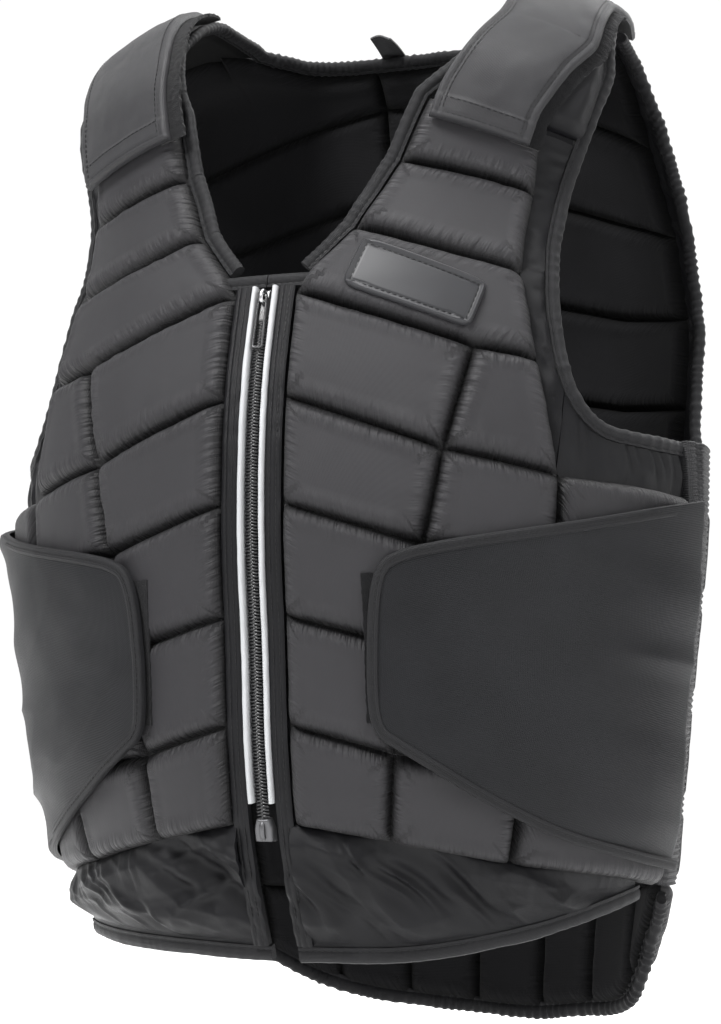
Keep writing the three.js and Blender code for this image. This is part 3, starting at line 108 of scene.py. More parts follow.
# Sections of the torso by share of the cloth's run. drop is a share of the length, the half widths and
# the depths to the front and back are shares of the chest's half sizes.
SECTIONS = table("run drop front_half back_half front back centre", [
    (0.0, 0.0, 0.863, 0.863, 0.0, 0.0, 0.0),
    (0.028, 0.003, 0.863, 0.863, 0.149, 0.321, 0.0),
    (0.067, 0.019, 0.863, 0.873, 0.351, 0.597, 0.0),
    (0.114, 0.048, 0.858, 0.893, 0.545, 0.739, 0.0),
    (0.161, 0.089, 0.853, 0.914, 0.679, 0.806, 0.0),
    (0.208, 0.137, 0.843, 0.934, 0.731, 0.843, 0.0),
    (0.262, 0.195, 0.832, 0.954, 0.761, 0.896, 0.0),
    (0.32, 0.258, 0.853, 0.964, 0.843, 0.933, 0.0),
    (0.371, 0.315, 0.904, 0.975, 0.933, 0.955, 0.0),
    (0.459, 0.41, 0.95, 0.97, 0.985, 0.95, -0.045),
    (0.563, 0.523, 0.965, 0.965, 0.993, 0.9, -0.06),
    (0.649, 0.617, 0.93, 0.93, 0.993, 0.87, -0.022),
    (0.741, 0.718, 0.89, 0.89, 0.993, 0.86, 0.015),
    (0.824, 0.809, 0.85, 0.85, 0.963, 0.85, 0.075),
    (0.908, 0.899, 0.8, 0.8, 0.851, 0.845, 0.134),
    (1.0, 1.0, 0.76, 0.76, 0.731, 0.806, 0.164),
])
# How much fuller than an ellipse the back is at its corners
FULLNESS = table("run corner", [
    (0.32, 0.28), (0.371, 0.26), (0.459, 0.18), (0.563, 0.05), (0.649, 0.0), (0.908, 0.0), (1.0, 0.04),
])

# Front quilting: distance of the inner end from the zip facing, how much smaller that is on the
# wearer's right, angles at the dividers, and runs
FRONT_ROWS = table("seam edge lean run0 angle1 run1 angle2 run2 run3", [
    (1, 0.297, 0.035, 0.204, 39, 0.212, 51, 0.219, 0.533),
    (1, 0.231, 0.01, 0.261, 37, 0.271, 50, 0.281, 0.533),
    (1, 0.134, 0, 0.319, 31, 0.34, 45.5, 0.357, 0.533),
    (0, 0.033, 0, 0.3535, 34, 0.392, 46.5, 0.406, 0.533),
    (1, 0, 0, 0.3715, 35.7, 0.421, 47.3, 0.431, 0.533),
    (1, 0, 0, 0.459, 30.4, 0.504, 50.4, 0.524, 0.533),
    (1, 0, 0, 0.544, 27.1, 0.579, 49.5, 0.596, 0.603),
    (1, 0, 0, 0.632, 25, 0.658, 47.7, 0.674, 0.682),
    (1, 0, 0, 0.717, 23, 0.74, 46, 0.754, 0.763),
    (1, 0, 0, 0.795, 22.1, 0.808, 43.6, 0.826, 0.845),
])
NECK_CORNER_ROW = 3
FIRST_DIVIDED_ROW = 4
FIRST_FULL_ROW = 5

# Back quilting: angle of the outer edge from the middle of the back, and runs at the dividers
BACK_INNER = 8
BACK_MIDDLE = 40
BACK_ROWS = table("edge inner middle outer side", [
    (53.5, 0.077, 0.02, 0.018, 0.533),
    (55.5, 0.125, 0.157, 0.172, 0.533),
    (60.5, 0.216, 0.251, 0.266, 0.533),
    (63, 0.312, 0.346, 0.357, 0.533),
    (64, 0.404, 0.434, 0.444, 0.533),
    (62, 0.495, 0.52, 0.528, 0.533),
    (62, 0.586, 0.605, 0.608, 0.611),
    (62, 0.677, 0.69, 0.693, 0.693),
    (62, 0.768, 0.777, 0.779, 0.779),
    (62, 0.859, 0.856, 0.85, 0.843),
])
BACK_FULL_ROW = 5
# Back tables: degrees from the middle of the back towards the wearer's right
BACK_NECK = table("angle run", [
    (-36, 0.022), (-31, 0.041), (-24, 0.059), (-17, 0.069), (-8, 0.073), (8, 0.073), (17, 0.07),
    (24, 0.058), (32, 0.03), (36.6, 0.0195),
])
TAIL_EDGE = table("angle run", [
    (-76, 0.852), (-67, 0.893), (-62, 0.9175), (-54, 0.942), (-38, 0.951), (-20, 0.957), (0, 0.952),
    (16, 0.945), (28, 0.932), (44, 0.9), (58, 0.879), (76, 0.852),
])
TAIL_SEAMS = [-76, -60, -41, -25, -8, 8, 24, 40, 58, 76]
ARMHOLE_FRONT = table("angle run", [
    (63.4, 0.008), (66.6, 0.075), (69, 0.124), (63.6, 0.219), (58.6, 0.287), (53, 0.371),
    (53.3, 0.414), (55.2, 0.452), (60, 0.4765), (70, 0.484), (86, 0.486),
])
ARMHOLE_BACK = table("angle run", [
    (118, 0.02), (119, 0.09), (116, 0.154), (112, 0.227), (110.5, 0.329), (109, 0.381),
    (107.5, 0.436), (105.7, 0.467), (104, 0.482),
])
FRONT_HEM_LEFT = table("angle run", [(2.8, 0.906), (25, 0.904), (50, 0.886), (68, 0.867), (79, 0.857)])
FRONT_HEM_RIGHT = table("angle run", [(2.8, 0.906), (25, 0.9015), (41, 0.8985), (54, 0.895), (65, 0.892)])
# Runs of a waist wrap's upper and lower edge
WRAP_ROWS = table("angle top bottom", [
    (19.8, 0.61, 0.709), (21.2, 0.592, 0.724), (24, 0.584, 0.733), (29, 0.578, 0.747),
    (38, 0.571, 0.771), (52, 0.561, 0.799), (70, 0.547, 0.818), (85, 0.5375, 0.828),
])
# Shoulders: shares of the half width at the neck's edge, how much smaller that is on the wearer's
# right, the straps' inner edges, and the straps' height as a share of the pads' thickness
SHOULDER_ROWS = table("run neck lean strap strap_right lift", [
    (-0.05, 0.56, 0.118, 0.5, 0.47, 0.42),
    (-0.016, 0.56, 0.118, 0.52, 0.465, 0.38),
    (0.0, 0.57, 0.125, 0.52, 0.46, 0.34),
    (0.028, 0.572, 0.13, 0.52, 0.455, 0.38),
    (0.067, 0.57, 0.128, 0.525, 0.435, 0.39),
    (0.114, 0.555, 0.113, 0.522, 0.405, 0.4),
    (0.157, 0.505, 0.098, 0.475, 0.375, 0.43),
    (0.18, 0.455, 0.07, 0.445, 0.365, 0.48),
    (0.204, 0.39, 0.035, 0.413, 0.352, 0.515),
    (0.234, 0.36, 0.0, 0.387, 0.33, 0.515),
])
STRAP_WIDTHS = table("run left right", [
    (-0.05, 0.9, 1.05), (0.0, 1.0, 1.2), (0.114, 0.94, 1.32), (0.234, 0.96, 1.3),
])


# Surface of the seams

def through(rows, column, at):
    """Smooth curve through a table's column, read by its first column."""
    x, y = rows[next(iter(rows))], rows[column]
    before = np.maximum(np.arange(len(x)) - 1, 0)
    after = np.minimum(np.arange(len(x)) + 1, len(x) - 1)
    slopes = (y[after] - y[before]) / (x[after] - x[before])
    i = np.searchsorted(x[1:-1], at)
    span = x[i + 1] - x[i]
    part = np.clip((at - x[i]) / span, 0, 1)
    square, cube = part ** 2, part ** 3
    value = y[i] * (2 * cube - 3 * square + 1) + slopes[i] * span * (cube - 2 * square + part)
    return value + y[i + 1] * (3 * square - 2 * cube) + slopes[i + 1] * span * (cube - square)


def line(rows, column, at):
    return np.interp(at, rows[next(iter(rows))], rows[column])


def surface(angle, run):
    """Points of the surface that the seams' outer side lies in."""
    angle, run = np.broadcast_arrays(np.asarray(angle, float), np.asarray(run, float))
    at = np.clip(run / CLOTH_RUN, 0, 1)
    turn = np.radians(angle)
    sin, cos = np.sin(turn), np.cos(turn)
    on_front = cos >= 0
    half = np.where(on_front, through(SECTIONS, "front_half", at), through(SECTIONS, "back_half", at))
    x = half * HALF_WIDTH * sin
    fuller = 1 + line(FULLNESS, "corner", at) * sin ** 2
    reach = np.where(on_front, through(SECTIONS, "front", at), through(SECTIONS, "back", at) * fuller) * cos
    y = (through(SECTIONS, "centre", at) - reach) * HALF_DEPTH
    near_shoulder = np.clip(1.45 - at / 0.257, 0, 1)
    sag = SHOULDER_DROP * np.abs(x / (HALF_WIDTH * 0.76)) ** 3 * near_shoulder
    z = SHOULDER_SEAT - through(SECTIONS, "drop", at) * VEST_LENGTH - sag
    return np.stack([x, y, z], -1)


def directions(angle, run):
    """Change of the surface with angle and with run, and the unit vector out of it."""
    step = 0.05
    near = np.maximum(run, step)
    round_ = (surface(angle + step, near) - surface(angle - step, near)) * (0.5 / step)
    down = (surface(angle, near + step) - surface(angle, near - step)) * (0.5 / step)
    return round_, down, unit(np.cross(down, round_))


def outward(angle, run):
    return directions(angle, run)[2]


def coordinates(angle, run):
    return np.moveaxis(surface(angle, run), -1, 0)


def unit(vectors):
    return vectors / np.maximum(np.linalg.norm(vectors, axis=-1, keepdims=True), 1e-9)


def above(angle, run, height):
    points = surface(angle, run)
    return points + outward(angle, run) * np.broadcast_to(height, points.shape[:-1])[..., None]


def moved(angle, run, vector):
    """Angle and run reached by going along a vector in the surface."""
    round_, down, _ = directions(angle, run)
    rr, rd, dd = (round_ ** 2).sum(-1), (round_ * down).sum(-1), (down ** 2).sum(-1)
    rv, dv = (round_ * vector).sum(-1), (down * vector).sum(-1)
    whole = rr * dd - rd ** 2
    return angle + (rv * dd - dv * rd) / whole, run + (dv * rr - rv * rd) / whole


def angle_at(x, run, on_back=False):
    at = np.maximum(run, 0) / CLOTH_RUN
    half = np.where(on_back, through(SECTIONS, "back_half", at), through(SECTIONS, "front_half", at))
    angle = np.degrees(np.arcsin(np.clip(x / (half * HALF_WIDTH), -1, 1)))
    return np.where(on_back, 180 - angle, angle)


def lerp(a, b, part):
    return a + (b - a) * part


# Smooth random waves, the same in every run

def lattice(x, y, z, seed):
    n = x * np.uint64(73856093) ^ y * np.uint64(19349663) ^ z * np.uint64(83492791)
    n ^= np.uint64(seed * 40503 + 977)
    n = (n ^ (n >> np.uint64(13))) * np.uint64(1274126177)
    n = (n ^ (n >> np.uint64(16))) * np.uint64(2246822519)
    return ((n >> np.uint64(11)) & np.uint64(65535)).astype(float) / 32767.5 - 1


def noise(x, y, z, seed):
    """Smooth random values between -1 and 1 over places a unit apart. Where only x and y vary, z
    picks one of many unlike fields."""
    x, y, z = np.broadcast_arrays(np.asarray(x, float), np.asarray(y, float), np.asarray(z, float))
    cells = [np.floor(v) for v in (x, y, z)]
    parts = [v - c for v, c in zip((x, y, z), cells)]
    parts = [p * p * (3 - 2 * p) for p in parts]
    whole = [(c.astype(np.int64) + 100000).astype(np.uint64) for c in cells]
    total = 0
    for corner in range(8):
        steps = [(corner >> k) & 1 for k in range(3)]
        weight = 1
        for part, step in zip(parts, steps):
            weight = weight * (part if step else 1 - part)
        spots = [w + np.uint64(step) for w, step in zip(whole, steps)]
        total = total + weight * lattice(*spots, seed)
    return total


def sharp_folds(x, y, z, seed):
    """Random values with sharp crests, as in creased cloth."""
    return 1 - 2 * np.abs(noise(x, y, z, seed))


# Paths and meshes

def path(rows, pitch):
    """Angles and runs evenly spaced along a smooth path through table rows."""
    marks = np.stack([rows["angle"] * PER_DEGREE, rows["run"] * CLOTH_RUN], -1)
    ends = [2 * marks[0] - marks[1], 2 * marks[-1] - marks[-2]]
    knots = np.concatenate([[ends[0]], marks, [ends[1]]])
    dense = []
    for a, b, c, d in zip(knots, knots[1:], knots[2:], knots[3:]):
        t0 = np.sqrt(np.linalg.norm(b - a))
        t1 = np.sqrt(np.linalg.norm(c - b))
        t2 = np.sqrt(np.linalg.norm(d - c))
        m1 = ((b - a) / t0 - (c - a) / (t0 + t1) + (c - b) / t1) * t1
        m2 = ((c - b) / t1 - (d - b) / (t1 + t2) + (d - c) / t2) * t1
        u = np.linspace(0, 1, 24, endpoint=False)[:, None]
        dense.append(b + m1 * u + (3 * (c - b) - 2 * m1 - m2) * u ** 2 + (2 * (b - c) + m1 + m2) * u ** 3)
    dense = np.concatenate([*dense, marks[-1:]])
    lengths = np.concatenate([[0], np.cumsum(np.linalg.norm(np.diff(dense, axis=0), axis=1))])
    steps = max(2, round(lengths[-1] / pitch))
    at = np.linspace(0, lengths[-1], steps + 1)
    return np.interp(at, lengths, dense[:, 0]) / PER_DEGREE, np.interp(at, lengths, dense[:, 1])


def straight_path(angles, runs, pitch):
    """Evenly spaced angles and runs along straight stretches between given places."""
    points = surface(angles, runs)
    lengths = np.concatenate([[0], np.cumsum(np.linalg.norm(np.diff(points, axis=0), axis=1))])
    at = np.linspace(0, lengths[-1], max(2, round(lengths[-1] / pitch)) + 1)
    return np.interp(at, lengths, angles), np.interp(at, lengths, runs)


def left_of(angle, run):
    """Unit vectors in the surface to the left of a path, seen from outside."""
    points = surface(angle, run)
    along = np.gradient(points, axis=0)
    return unit(np.cross(outward(angle, run), along))


def arc(points, axis):
    """Length along one axis of a grid of points, from its start."""
    steps = np.linalg.norm(np.diff(points, axis=axis), axis=-1)
    first = np.zeros_like(np.take(steps, [0], axis))
    return np.concatenate([first, np.cumsum(steps, axis)], axis)


def add_mesh(name, points, faces, materials, picks=None, cloth=None, seam=None, replaces=(), slot=None,
             body="vest"):
    """Closed mesh of quads from points in millimetres, riding on a body of the frame."""
    faces = np.asarray(faces)
    a, b, c, d = (points[faces[:, k]] for k in range(4))
    volume = (np.cross(a, b) * c).sum() + (np.cross(a, c) * d).sum()
    if volume < 0:
        faces = faces[:, ::-1]
    mesh = bpy.data.meshes.new(name)
    mesh.vertices.add(len(points))
    mesh.vertices.foreach_set("co", (points * MM).astype(np.float32).ravel())
    mesh.loops.add(faces.size)
    mesh.loops.foreach_set("vertex_index", np.ascontiguousarray(faces, np.int32).ravel())
    mesh.polygons.add(len(faces))
    mesh.polygons.foreach_set("loop_start", np.arange(0, faces.size, 4, dtype=np.int32))
    mesh.polygons.foreach_set("use_smooth", np.ones(len(faces), bool))
    if picks is not None:
        mesh.polygons.foreach_set("material_index", np.asarray(picks, np.int32))
    for material in materials:
        mesh.materials.append(material)
    for word, values in (("cloth", cloth), ("seam", seam)):
        if values is not None:
            layer = mesh.attributes.new(word, "FLOAT_VECTOR", "POINT")
            layer.data.foreach_set("vector", np.asarray(values, np.float32).ravel())
    mesh.update(calc_edges=True)
    mesh.set_sharp_from_angle(angle=math.radians(60))
    piece = bpy.data.objects.new(name, mesh)
    bpy.context.scene.collection.objects.link(piece)
    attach(piece, body)
    if replaces:
        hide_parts(*replaces)
    return piece


def declare_sheet(piece, middle, held, rests_on):
    """Works out the flat width and length of a piece's cloth, in metres, and does nothing more with them."""
    width, length = arc(middle, 1).max() * MM, arc(middle, 0).max() * MM


def wall(name, outer, inner, materials, side=1, holds=None, seam=None, sheet=None, **words):
    """Closed wall between two grids of points, with a side wall on every edge. holds says which
    squares of the grid it has. sheet gives how its cloth is held, and the pieces it rests on."""
    rows, columns = outer.shape[:2]
    holds = np.ones((rows - 1, columns - 1), bool) if holds is None else holds
    number = np.arange(rows * columns).reshape(rows, columns)
    corner = [number[:-1, :-1], number[1:, :-1], number[1:, 1:], number[:-1, 1:]]
    front = np.stack([c[holds] for c in corner], -1)
    faces = [front, front[:, ::-1] + number.size]
    padded = np.pad(holds, 1)
    beside = [padded[1:-1, :-2], padded[2:, 1:-1], padded[1:-1, 2:], padded[:-2, 1:-1]]
    for k, (open_side, a, b) in enumerate(zip(beside, corner, corner[1:] + corner[:1])):
        edge = holds & ~open_side
        start, end = a[edge], b[edge]
        faces.append(np.stack([end, start, start + number.size, end + number.size], -1))
    picks = np.concatenate([np.full(len(f), 1 if k == 1 else 0) for k, f in enumerate(faces)])
    faces = np.concatenate(faces)
    middle = (outer + inner) / 2
    across, down = arc(middle, 1), arc(middle, 0)
    grid = np.stack([across, down, np.zeros_like(down)], -1).reshape(-1, 3)
    points = np.concatenate([outer.reshape(-1, 3), inner.reshape(-1, 3)]) * [side, 1, 1]
    used = np.unique(faces)
    renumber = np.full(len(points), -1)
    renumber[used] = np.arange(len(used))
    cloth = np.concatenate([grid, grid])[used]
    if seam is not None:
        seam = np.concatenate([seam.reshape(-1, 3)] * 2)[used]
    picks = picks if len(materials) > 1 else None
    piece = add_mesh(name, points[used], renumber[faces], materials, picks, cloth, seam, **words)
    if sheet:
        declare_sheet(piece, middle, *sheet)
    return piece


def layer(name, angle, run, low, high, materials, side=1, holds=None, seam=None, sheet=None, **words):
    """Wall whose faces stand at given heights over a grid of places."""
    angle, run, low, high = np.broadcast_arrays(angle, run, low, high)
    outer, inner = above(angle, run, high), above(angle, run, low)
    return wall(name, outer, inner, materials, side, holds, seam, sheet, **words)


def edge_fade(share, rate):
    """Share that rises from 0 at both edges of a piece to 1."""
    return np.minimum(np.minimum(share, 1 - share) * rate, 1)


def add_cloth(name, angle, run, middle, side, node, sheet):
    """Loose cloth with its middle at given heights."""
    half = CLOTH_THICKNESS / 2
    layer(name, angle, run, middle - half, middle + half, [LOOSE], side, replaces=[node],
          slot="loose_cloth", sheet=sheet)


def tube(name, centres, sideways, upward, section, materials, side=1, closed=False, **words):
    """Closed body swept along centres. section gives pairs (sideways, upward) per centre."""
    rings = centres[:, None] + sideways[:, None] * section[..., :1] + upward[:, None] * section[..., 1:]
    count, corners = rings.shape[:2]
    number = np.arange(count * corners).reshape(count, corners)
    faces = []
    steps = count if closed else count - 1
    for k in range(corners):
        a = np.stack([number[:, k], number[:, (k + 1) % corners]], -1)
        b = np.roll(a, -1, axis=0)
        faces.append(np.stack([a[:steps, 0], a[:steps, 1], b[:steps, 1], b[:steps, 0]], -1))
    if not closed:
        faces += [cap(number[0]), cap(number[-1][::-1])]
    around = np.linalg.norm(np.diff(rings, axis=1, append=rings[:, :1]), axis=-1)
    along = np.broadcast_to(arc(rings, 0).mean(1, keepdims=True), (count, corners))
    cloth = np.stack([np.cumsum(around, 1), along, np.zeros((count, corners))], -1)
    points = rings.reshape(-1, 3) * [side, 1, 1]
    add_mesh(name, points, np.concatenate(faces), materials, None, cloth.reshape(-1, 3), **words)


def cap(ring):
    """Quads across a ring with an even number of corners."""
    n = len(ring)
    quads = [[ring[k], ring[k + 1], ring[n - 2 - k], ring[n - 1 - k]] for k in range(n // 2 - 1)]
    return np.array(quads)[:, ::-1]


# Materials

def set_inputs(node, values):
    for name, value in values.items():
        node.inputs[name].default_value = value
    return node


def add_node(tree, kind, values, **settings):
    """New shader node with settings of its own and values for its inputs."""
    node = tree.nodes.new("ShaderNode" + kind)
    for name, value in settings.items():
        setattr(node, name, value)
    return set_inputs(node, values)


def material(name, colour, roughness, weave=None, mottle=0.12, sheen=0.0, metallic=0.0, bump=0.0,
             bump_size=0.4, specular=0.25, puckers=0.0):
    """Procedural finish. weave is (thread pitch in mm, depth), mottle the colour's variation and
    bump the depth of a fine grain bump_size mm across. puckers is the depth of the small folds that
    run into the seams."""
    made = bpy.data.materials.new(name)
    made.use_nodes = True
    tree = made.node_tree
    link = tree.links.new
    shader = set_inputs(tree.nodes["Principled BSDF"], {
        "Metallic": metallic, "Specular IOR Level": specular, "Sheen Weight": sheen, "Sheen Roughness": 0.5,
    })
    place = add_node(tree, "TexCoord", {})
    broad = add_node(tree, "TexNoise", {"Scale": 28, "Detail": 6})
    link(place.outputs["Object"], broad.inputs["Vector"])
    shades = add_node(tree, "ValToRGB", {})
    for stop, position, share in zip(shades.color_ramp.elements, (0.3, 0.7), (1 - mottle, 1 + mottle)):
        stop.position = position
        stop.color = (*(min(1, c * share) for c in colour), 1)
    link(broad.outputs["Fac"], shades.inputs["Fac"])
    shade = shades.outputs["Color"]
    # Where puckers is set, the base colour also gets painted shade along the seams.
    link(painted_seam_shade(tree, shade) if puckers else shade, shader.inputs["Base Color"])
    rough = add_node(tree, "MapRange", {
        "To Min": max(0.05, roughness - 0.08), "To Max": min(1, roughness + 0.08),
    })
    link(broad.outputs["Fac"], rough.inputs["Value"])
    link(rough.outputs["Result"], shader.inputs["Roughness"])
    reliefs = []
    if bump:
        grain = add_node(tree, "TexNoise", {"Scale": 1 / (bump_size * MM), "Detail": 3})
        link(place.outputs["Object"], grain.inputs["Vector"])
        reliefs.append((grain.outputs["Fac"], bump))
    if puckers:
        reliefs.append((pucker_height(tree), puckers))
    if weave:
        pitch, depth = weave
        threads = add_node(tree, "Attribute", {}, attribute_name="cloth")
        for direction in ("X", "Y"):
            wave = add_node(tree, "TexWave", {"Scale": 0.314 / pitch, "Distortion": 0.6, "Detail": 1},
                            bands_direction=direction)
            link(threads.outputs["Vector"], wave.inputs["Vector"])
            reliefs.append((wave.outputs["Fac"], depth))
    normal = None
    for height, depth in reliefs:
        relief = add_node(tree, "Bump", {"Strength": 0.6, "Distance": depth * MM})
        link(height, relief.inputs["Height"])
        if normal:
            link(normal, relief.inputs["Normal"])
        normal = relief.outputs["Normal"]
    if normal:
        link(normal, shader.inputs["Normal"])
    return made


def seam_distance(tree, far, at_seam, away):
    """The seam attribute, which is (length along the seam, distance from it), and a value that goes
    from at_seam on a seam to away at far millimetres from it."""
    near = add_node(tree, "Attribute", {}, attribute_name="seam").outputs["Vector"]
    apart = add_node(tree, "SeparateXYZ", {})
    tree.links.new(near, apart.inputs["Vector"])
    limits = {"From Min": 0.3, "From Max": far, "To Min": at_seam, "To Max": away}
    fade = add_node(tree, "MapRange", limits, interpolation_type="SMOOTHSTEP")
    tree.links.new(apart.outputs["Y"], fade.inputs["Value"])
    return near, fade.outputs["Result"]


def painted_seam_shade(tree, colour):
    """Colour with painted shade along the seams, where little light comes: darkest on a seam and gone 5.5 mm
    from it.
    """
    shade = add_node(tree, "VectorMath", {}, operation="SCALE")
    tree.links.new(colour, shade.inputs["Vector"])
    tree.links.new(seam_distance(tree, 5.5, 0.25, 1)[1], shade.inputs["Scale"])
    return shade.outputs["Vector"]


def pucker_height(tree):
    """Height of small folds across the seams."""
    near, fade = seam_distance(tree, 13, 1, 0)
    spread = add_node(tree, "VectorMath", {1: (0.34, 0.05, 1)}, operation="MULTIPLY")
    tree.links.new(near, spread.inputs[0])
    folds = add_node(tree, "TexNoise", {"Scale": 1, "Detail": 2})
    tree.links.new(spread.outputs["Vector"], folds.inputs["Vector"])
    height = add_node(tree, "Math", {}, operation="MULTIPLY")
    tree.links.new(folds.outputs["Fac"], height.inputs[0])
    tree.links.new(fade, height.inputs[1])
    return height.outputs["Value"]


# Pads and lining get painted shade along their seams, switched on by puckers.
PAD = material("pad_nylon", (0.0125, 0.012, 0.0136), 0.5, (0.55, 0.1), 0.08, 0.03, bump=0.05,
               specular=0.2, puckers=5.5)
LINING = material("mesh_lining", (0.0042, 0.0042, 0.0047), 0.85, (0.9, 0.1), 0.2, 0.02, bump=0.15,
                  specular=0.08, puckers=3.0)
LOOSE = material("loose_nylon", (0.0048, 0.0048, 0.0055), 0.36, (0.5, 0.08), 0.1, bump=0.03, specular=0.11)
STRAP = material("strap_nylon", (0.0128, 0.0126, 0.014), 0.46, (0.6, 0.12), 0.08, 0.03, bump=0.05,
                 specular=0.22)
BINDING = material("binding_tape", (0.006, 0.006, 0.0068), 0.5, (0.7, 0.16), 0.15, 0.02, bump=0.1,
                   specular=0.13)
WRAP = material("wrap_knit", (0.0056, 0.0058, 0.0067), 0.4, (0.9, 0.12), 0.14, bump=0.04, specular=0.11)
HOOK = material("hook_fuzz", (0.005, 0.005, 0.0055), 0.95, None, 0.3, 0.08, bump=0.9, bump_size=0.7,
                specular=0.08)
WEBBING = material("webbing", (0.008, 0.008, 0.009), 0.55, (1.2, 0.4), 0.15, 0.03, bump=0.1, specular=0.2)
PIPING = material("reflective_piping", (0.3, 0.305, 0.313), 0.42, (0.5, 0.06), 0.05, bump=0.04)
COIL = material("coil_plastic", (0.005, 0.005, 0.0055), 0.28, None, 0.1, bump=0.03, specular=0.45)
TAPE = material("zip_tape", (0.008, 0.008, 0.009), 0.7, (0.8, 0.2), 0.1, 0.02, specular=0.15)
RUBBER = material("badge_rubber", (0.018, 0.0182, 0.02), 0.45, None, 0.06, bump=0.05, bump_size=0.8)
SATIN = material("tag_satin", (0.014, 0.014, 0.0155), 0.35, (0.4, 0.1), 0.1, 0.05, specular=0.35)
THREAD = material("thread", (0.006, 0.006, 0.0065), 0.5, None, 0.1, specular=0.2)
DARK_METAL = material("dark_metal", (0.01, 0.01, 0.011), 0.22, None, 0.1, bump=0.03, specular=0.6)
GREY_METAL = material("grey_metal", (0.07, 0.07, 0.073), 0.4, None, 0.1, metallic=0.7, bump=0.03)
SILVER = material("worn_silver", (0.4, 0.4, 0.41), 0.3, None, 0.1, metallic=1.0, bump=0.03)


# Quilted panels

SEAM_WIDTH = 8.5  # from a seam to the full height of the pad
CREASE = 2.0  # how far the cloth is drawn in at a seam
CROWN = 0.7  # how much a pad's middle stands over its edges
ON_SEAM = 0.15  # height of the stitches over a seam


def grid_steps(sizes, pitch):
    """Positions through table intervals of given sizes, with each whole number kept."""
    steps = [np.arange(n) / n + k for k, n in enumerate(max(4, round(s / pitch)) for s in sizes)]
    return np.concatenate([*steps, [len(sizes)]])


def whole_places(steps):
    """Where the steps are whole numbers."""
    return [int(np.searchsorted(steps, k)) for k in range(int(steps[-1]) + 1)]


def bilinear(values, down, across):
    i = np.minimum(down.astype(int), values.shape[0] - 2)[:, None]
    j = np.minimum(across.astype(int), values.shape[1] - 2)[None]
    u, v = down[:, None] - i, across[None] - j
    top = lerp(values[i, j], values[i, j + 1], v)
    return lerp(top, lerp(values[i + 1, j], values[i + 1, j + 1], v), u)


def rise_of(distance, width=SEAM_WIDTH):
    part = np.clip(distance / width, 0, 1)
    return (1 - (1 - part) ** 2.2) ** 0.6


class Quilt:
    """Heights of quilted pads over a grid of places. lines is a list of (axis, index, where):
    where is a slice of the grid along the seam."""

    def __init__(self, angle, run, lines, seed):
        self.points = surface(angle, run)
        self.lengths = [arc(self.points, 0), arc(self.points, 1)]
        self.fall = np.ones(angle.shape)
        self.pucker = np.zeros(angle.shape)
        self.near = np.full(angle.shape, 1000.0)
        self.along = np.zeros(angle.shape)
        self.seed = seed
        for count, (axis, index, where) in enumerate(lines):
            self.add_seam(axis, index, where, count)

    def add_seam(self, axis, index, where, count):
        away = np.take(self.lengths[axis], [index], axis)
        distance = np.abs(self.lengths[axis] - away)
        along = self.lengths[1 - axis]
        part = (slice(None), where) if axis == 0 else (where, slice(None))
        signed = self.lengths[axis] - away
        self.fall[part] *= rise_of(distance)[part]
        nearer = distance[part] < self.near[part]
        self.near[part] = np.where(nearer, distance[part], self.near[part])
        self.along[part] = np.where(nearer, (along + 61 * count)[part], self.along[part])
        ridges = noise(along / 5.0, count * 7.7, distance / 16, self.seed)
        coarse = noise(along / 13, count * 3.3, distance / 30, self.seed + 1)
        reach = np.where(signed < 0, 8.0, 5.0)
        fade = np.exp(-distance / reach) * np.clip(distance / 1.5, 0.25, 1)
        self.pucker[part] += ((0.9 * ridges + 0.7 * coarse) * fade)[part]

    def seams(self):
        return np.stack([self.along, self.near, np.zeros_like(self.near)], -1)

    def heights(self, rise):
        middle = self.fall ** 2
        x, y, z = np.moveaxis(self.points, -1, 0)
        broad = noise(x / 34, y / 34, z / 34, self.seed + 2) * 0.5 + noise(x / 11, y / 11, z / 11, 5) * 0.12
        high = -CREASE + (rise + CREASE) * self.fall + (CROWN + broad) * middle + self.pucker
        low = -SEAM_THICKNESS + CREASE - (rise + CREASE) * self.fall - 0.5 * self.pucker
        return low, high


def add_pads(name, angle, run, lines, seed, node, side=1, holds=None, rise=PAD_RISE):
    """Quilted pads over a grid of places. Gives back the heights of their outer face."""
    quilt = Quilt(angle, run, lines, seed)
    low, high = quilt.heights(rise)
    piece = layer(name, angle, run, low, high, [PAD, LINING], side, holds, quilt.seams(), replaces=[node],
                  slot="pad_cloth")
    return high


def front_grid(side):
    """Angles and runs of the front quilting's table: inner end, two dividers and the side."""
    runs = np.stack([FRONT_ROWS[f"run{k}"] for k in range(4)], -1) * CLOTH_RUN
    edge = FRONT_ROWS["edge"] - (FRONT_ROWS["lean"] if side < 0 else 0)
    first = angle_at(FACING_EDGE + GAP + edge * HALF_WIDTH, runs[:, 0])
    last = np.full(len(first), float(SIDE_JOINT))
    return np.stack([first, FRONT_ROWS["angle1"], FRONT_ROWS["angle2"], last], -1), runs


FRONT_ANGLES, FRONT_RUNS = front_grid(1)
FRONT_WIDTHS = [62, 50, 92]
BACK_WIDTHS = [60, 50, 96, 48, 96, 50, 60]
TAIL_FILL = 0.8


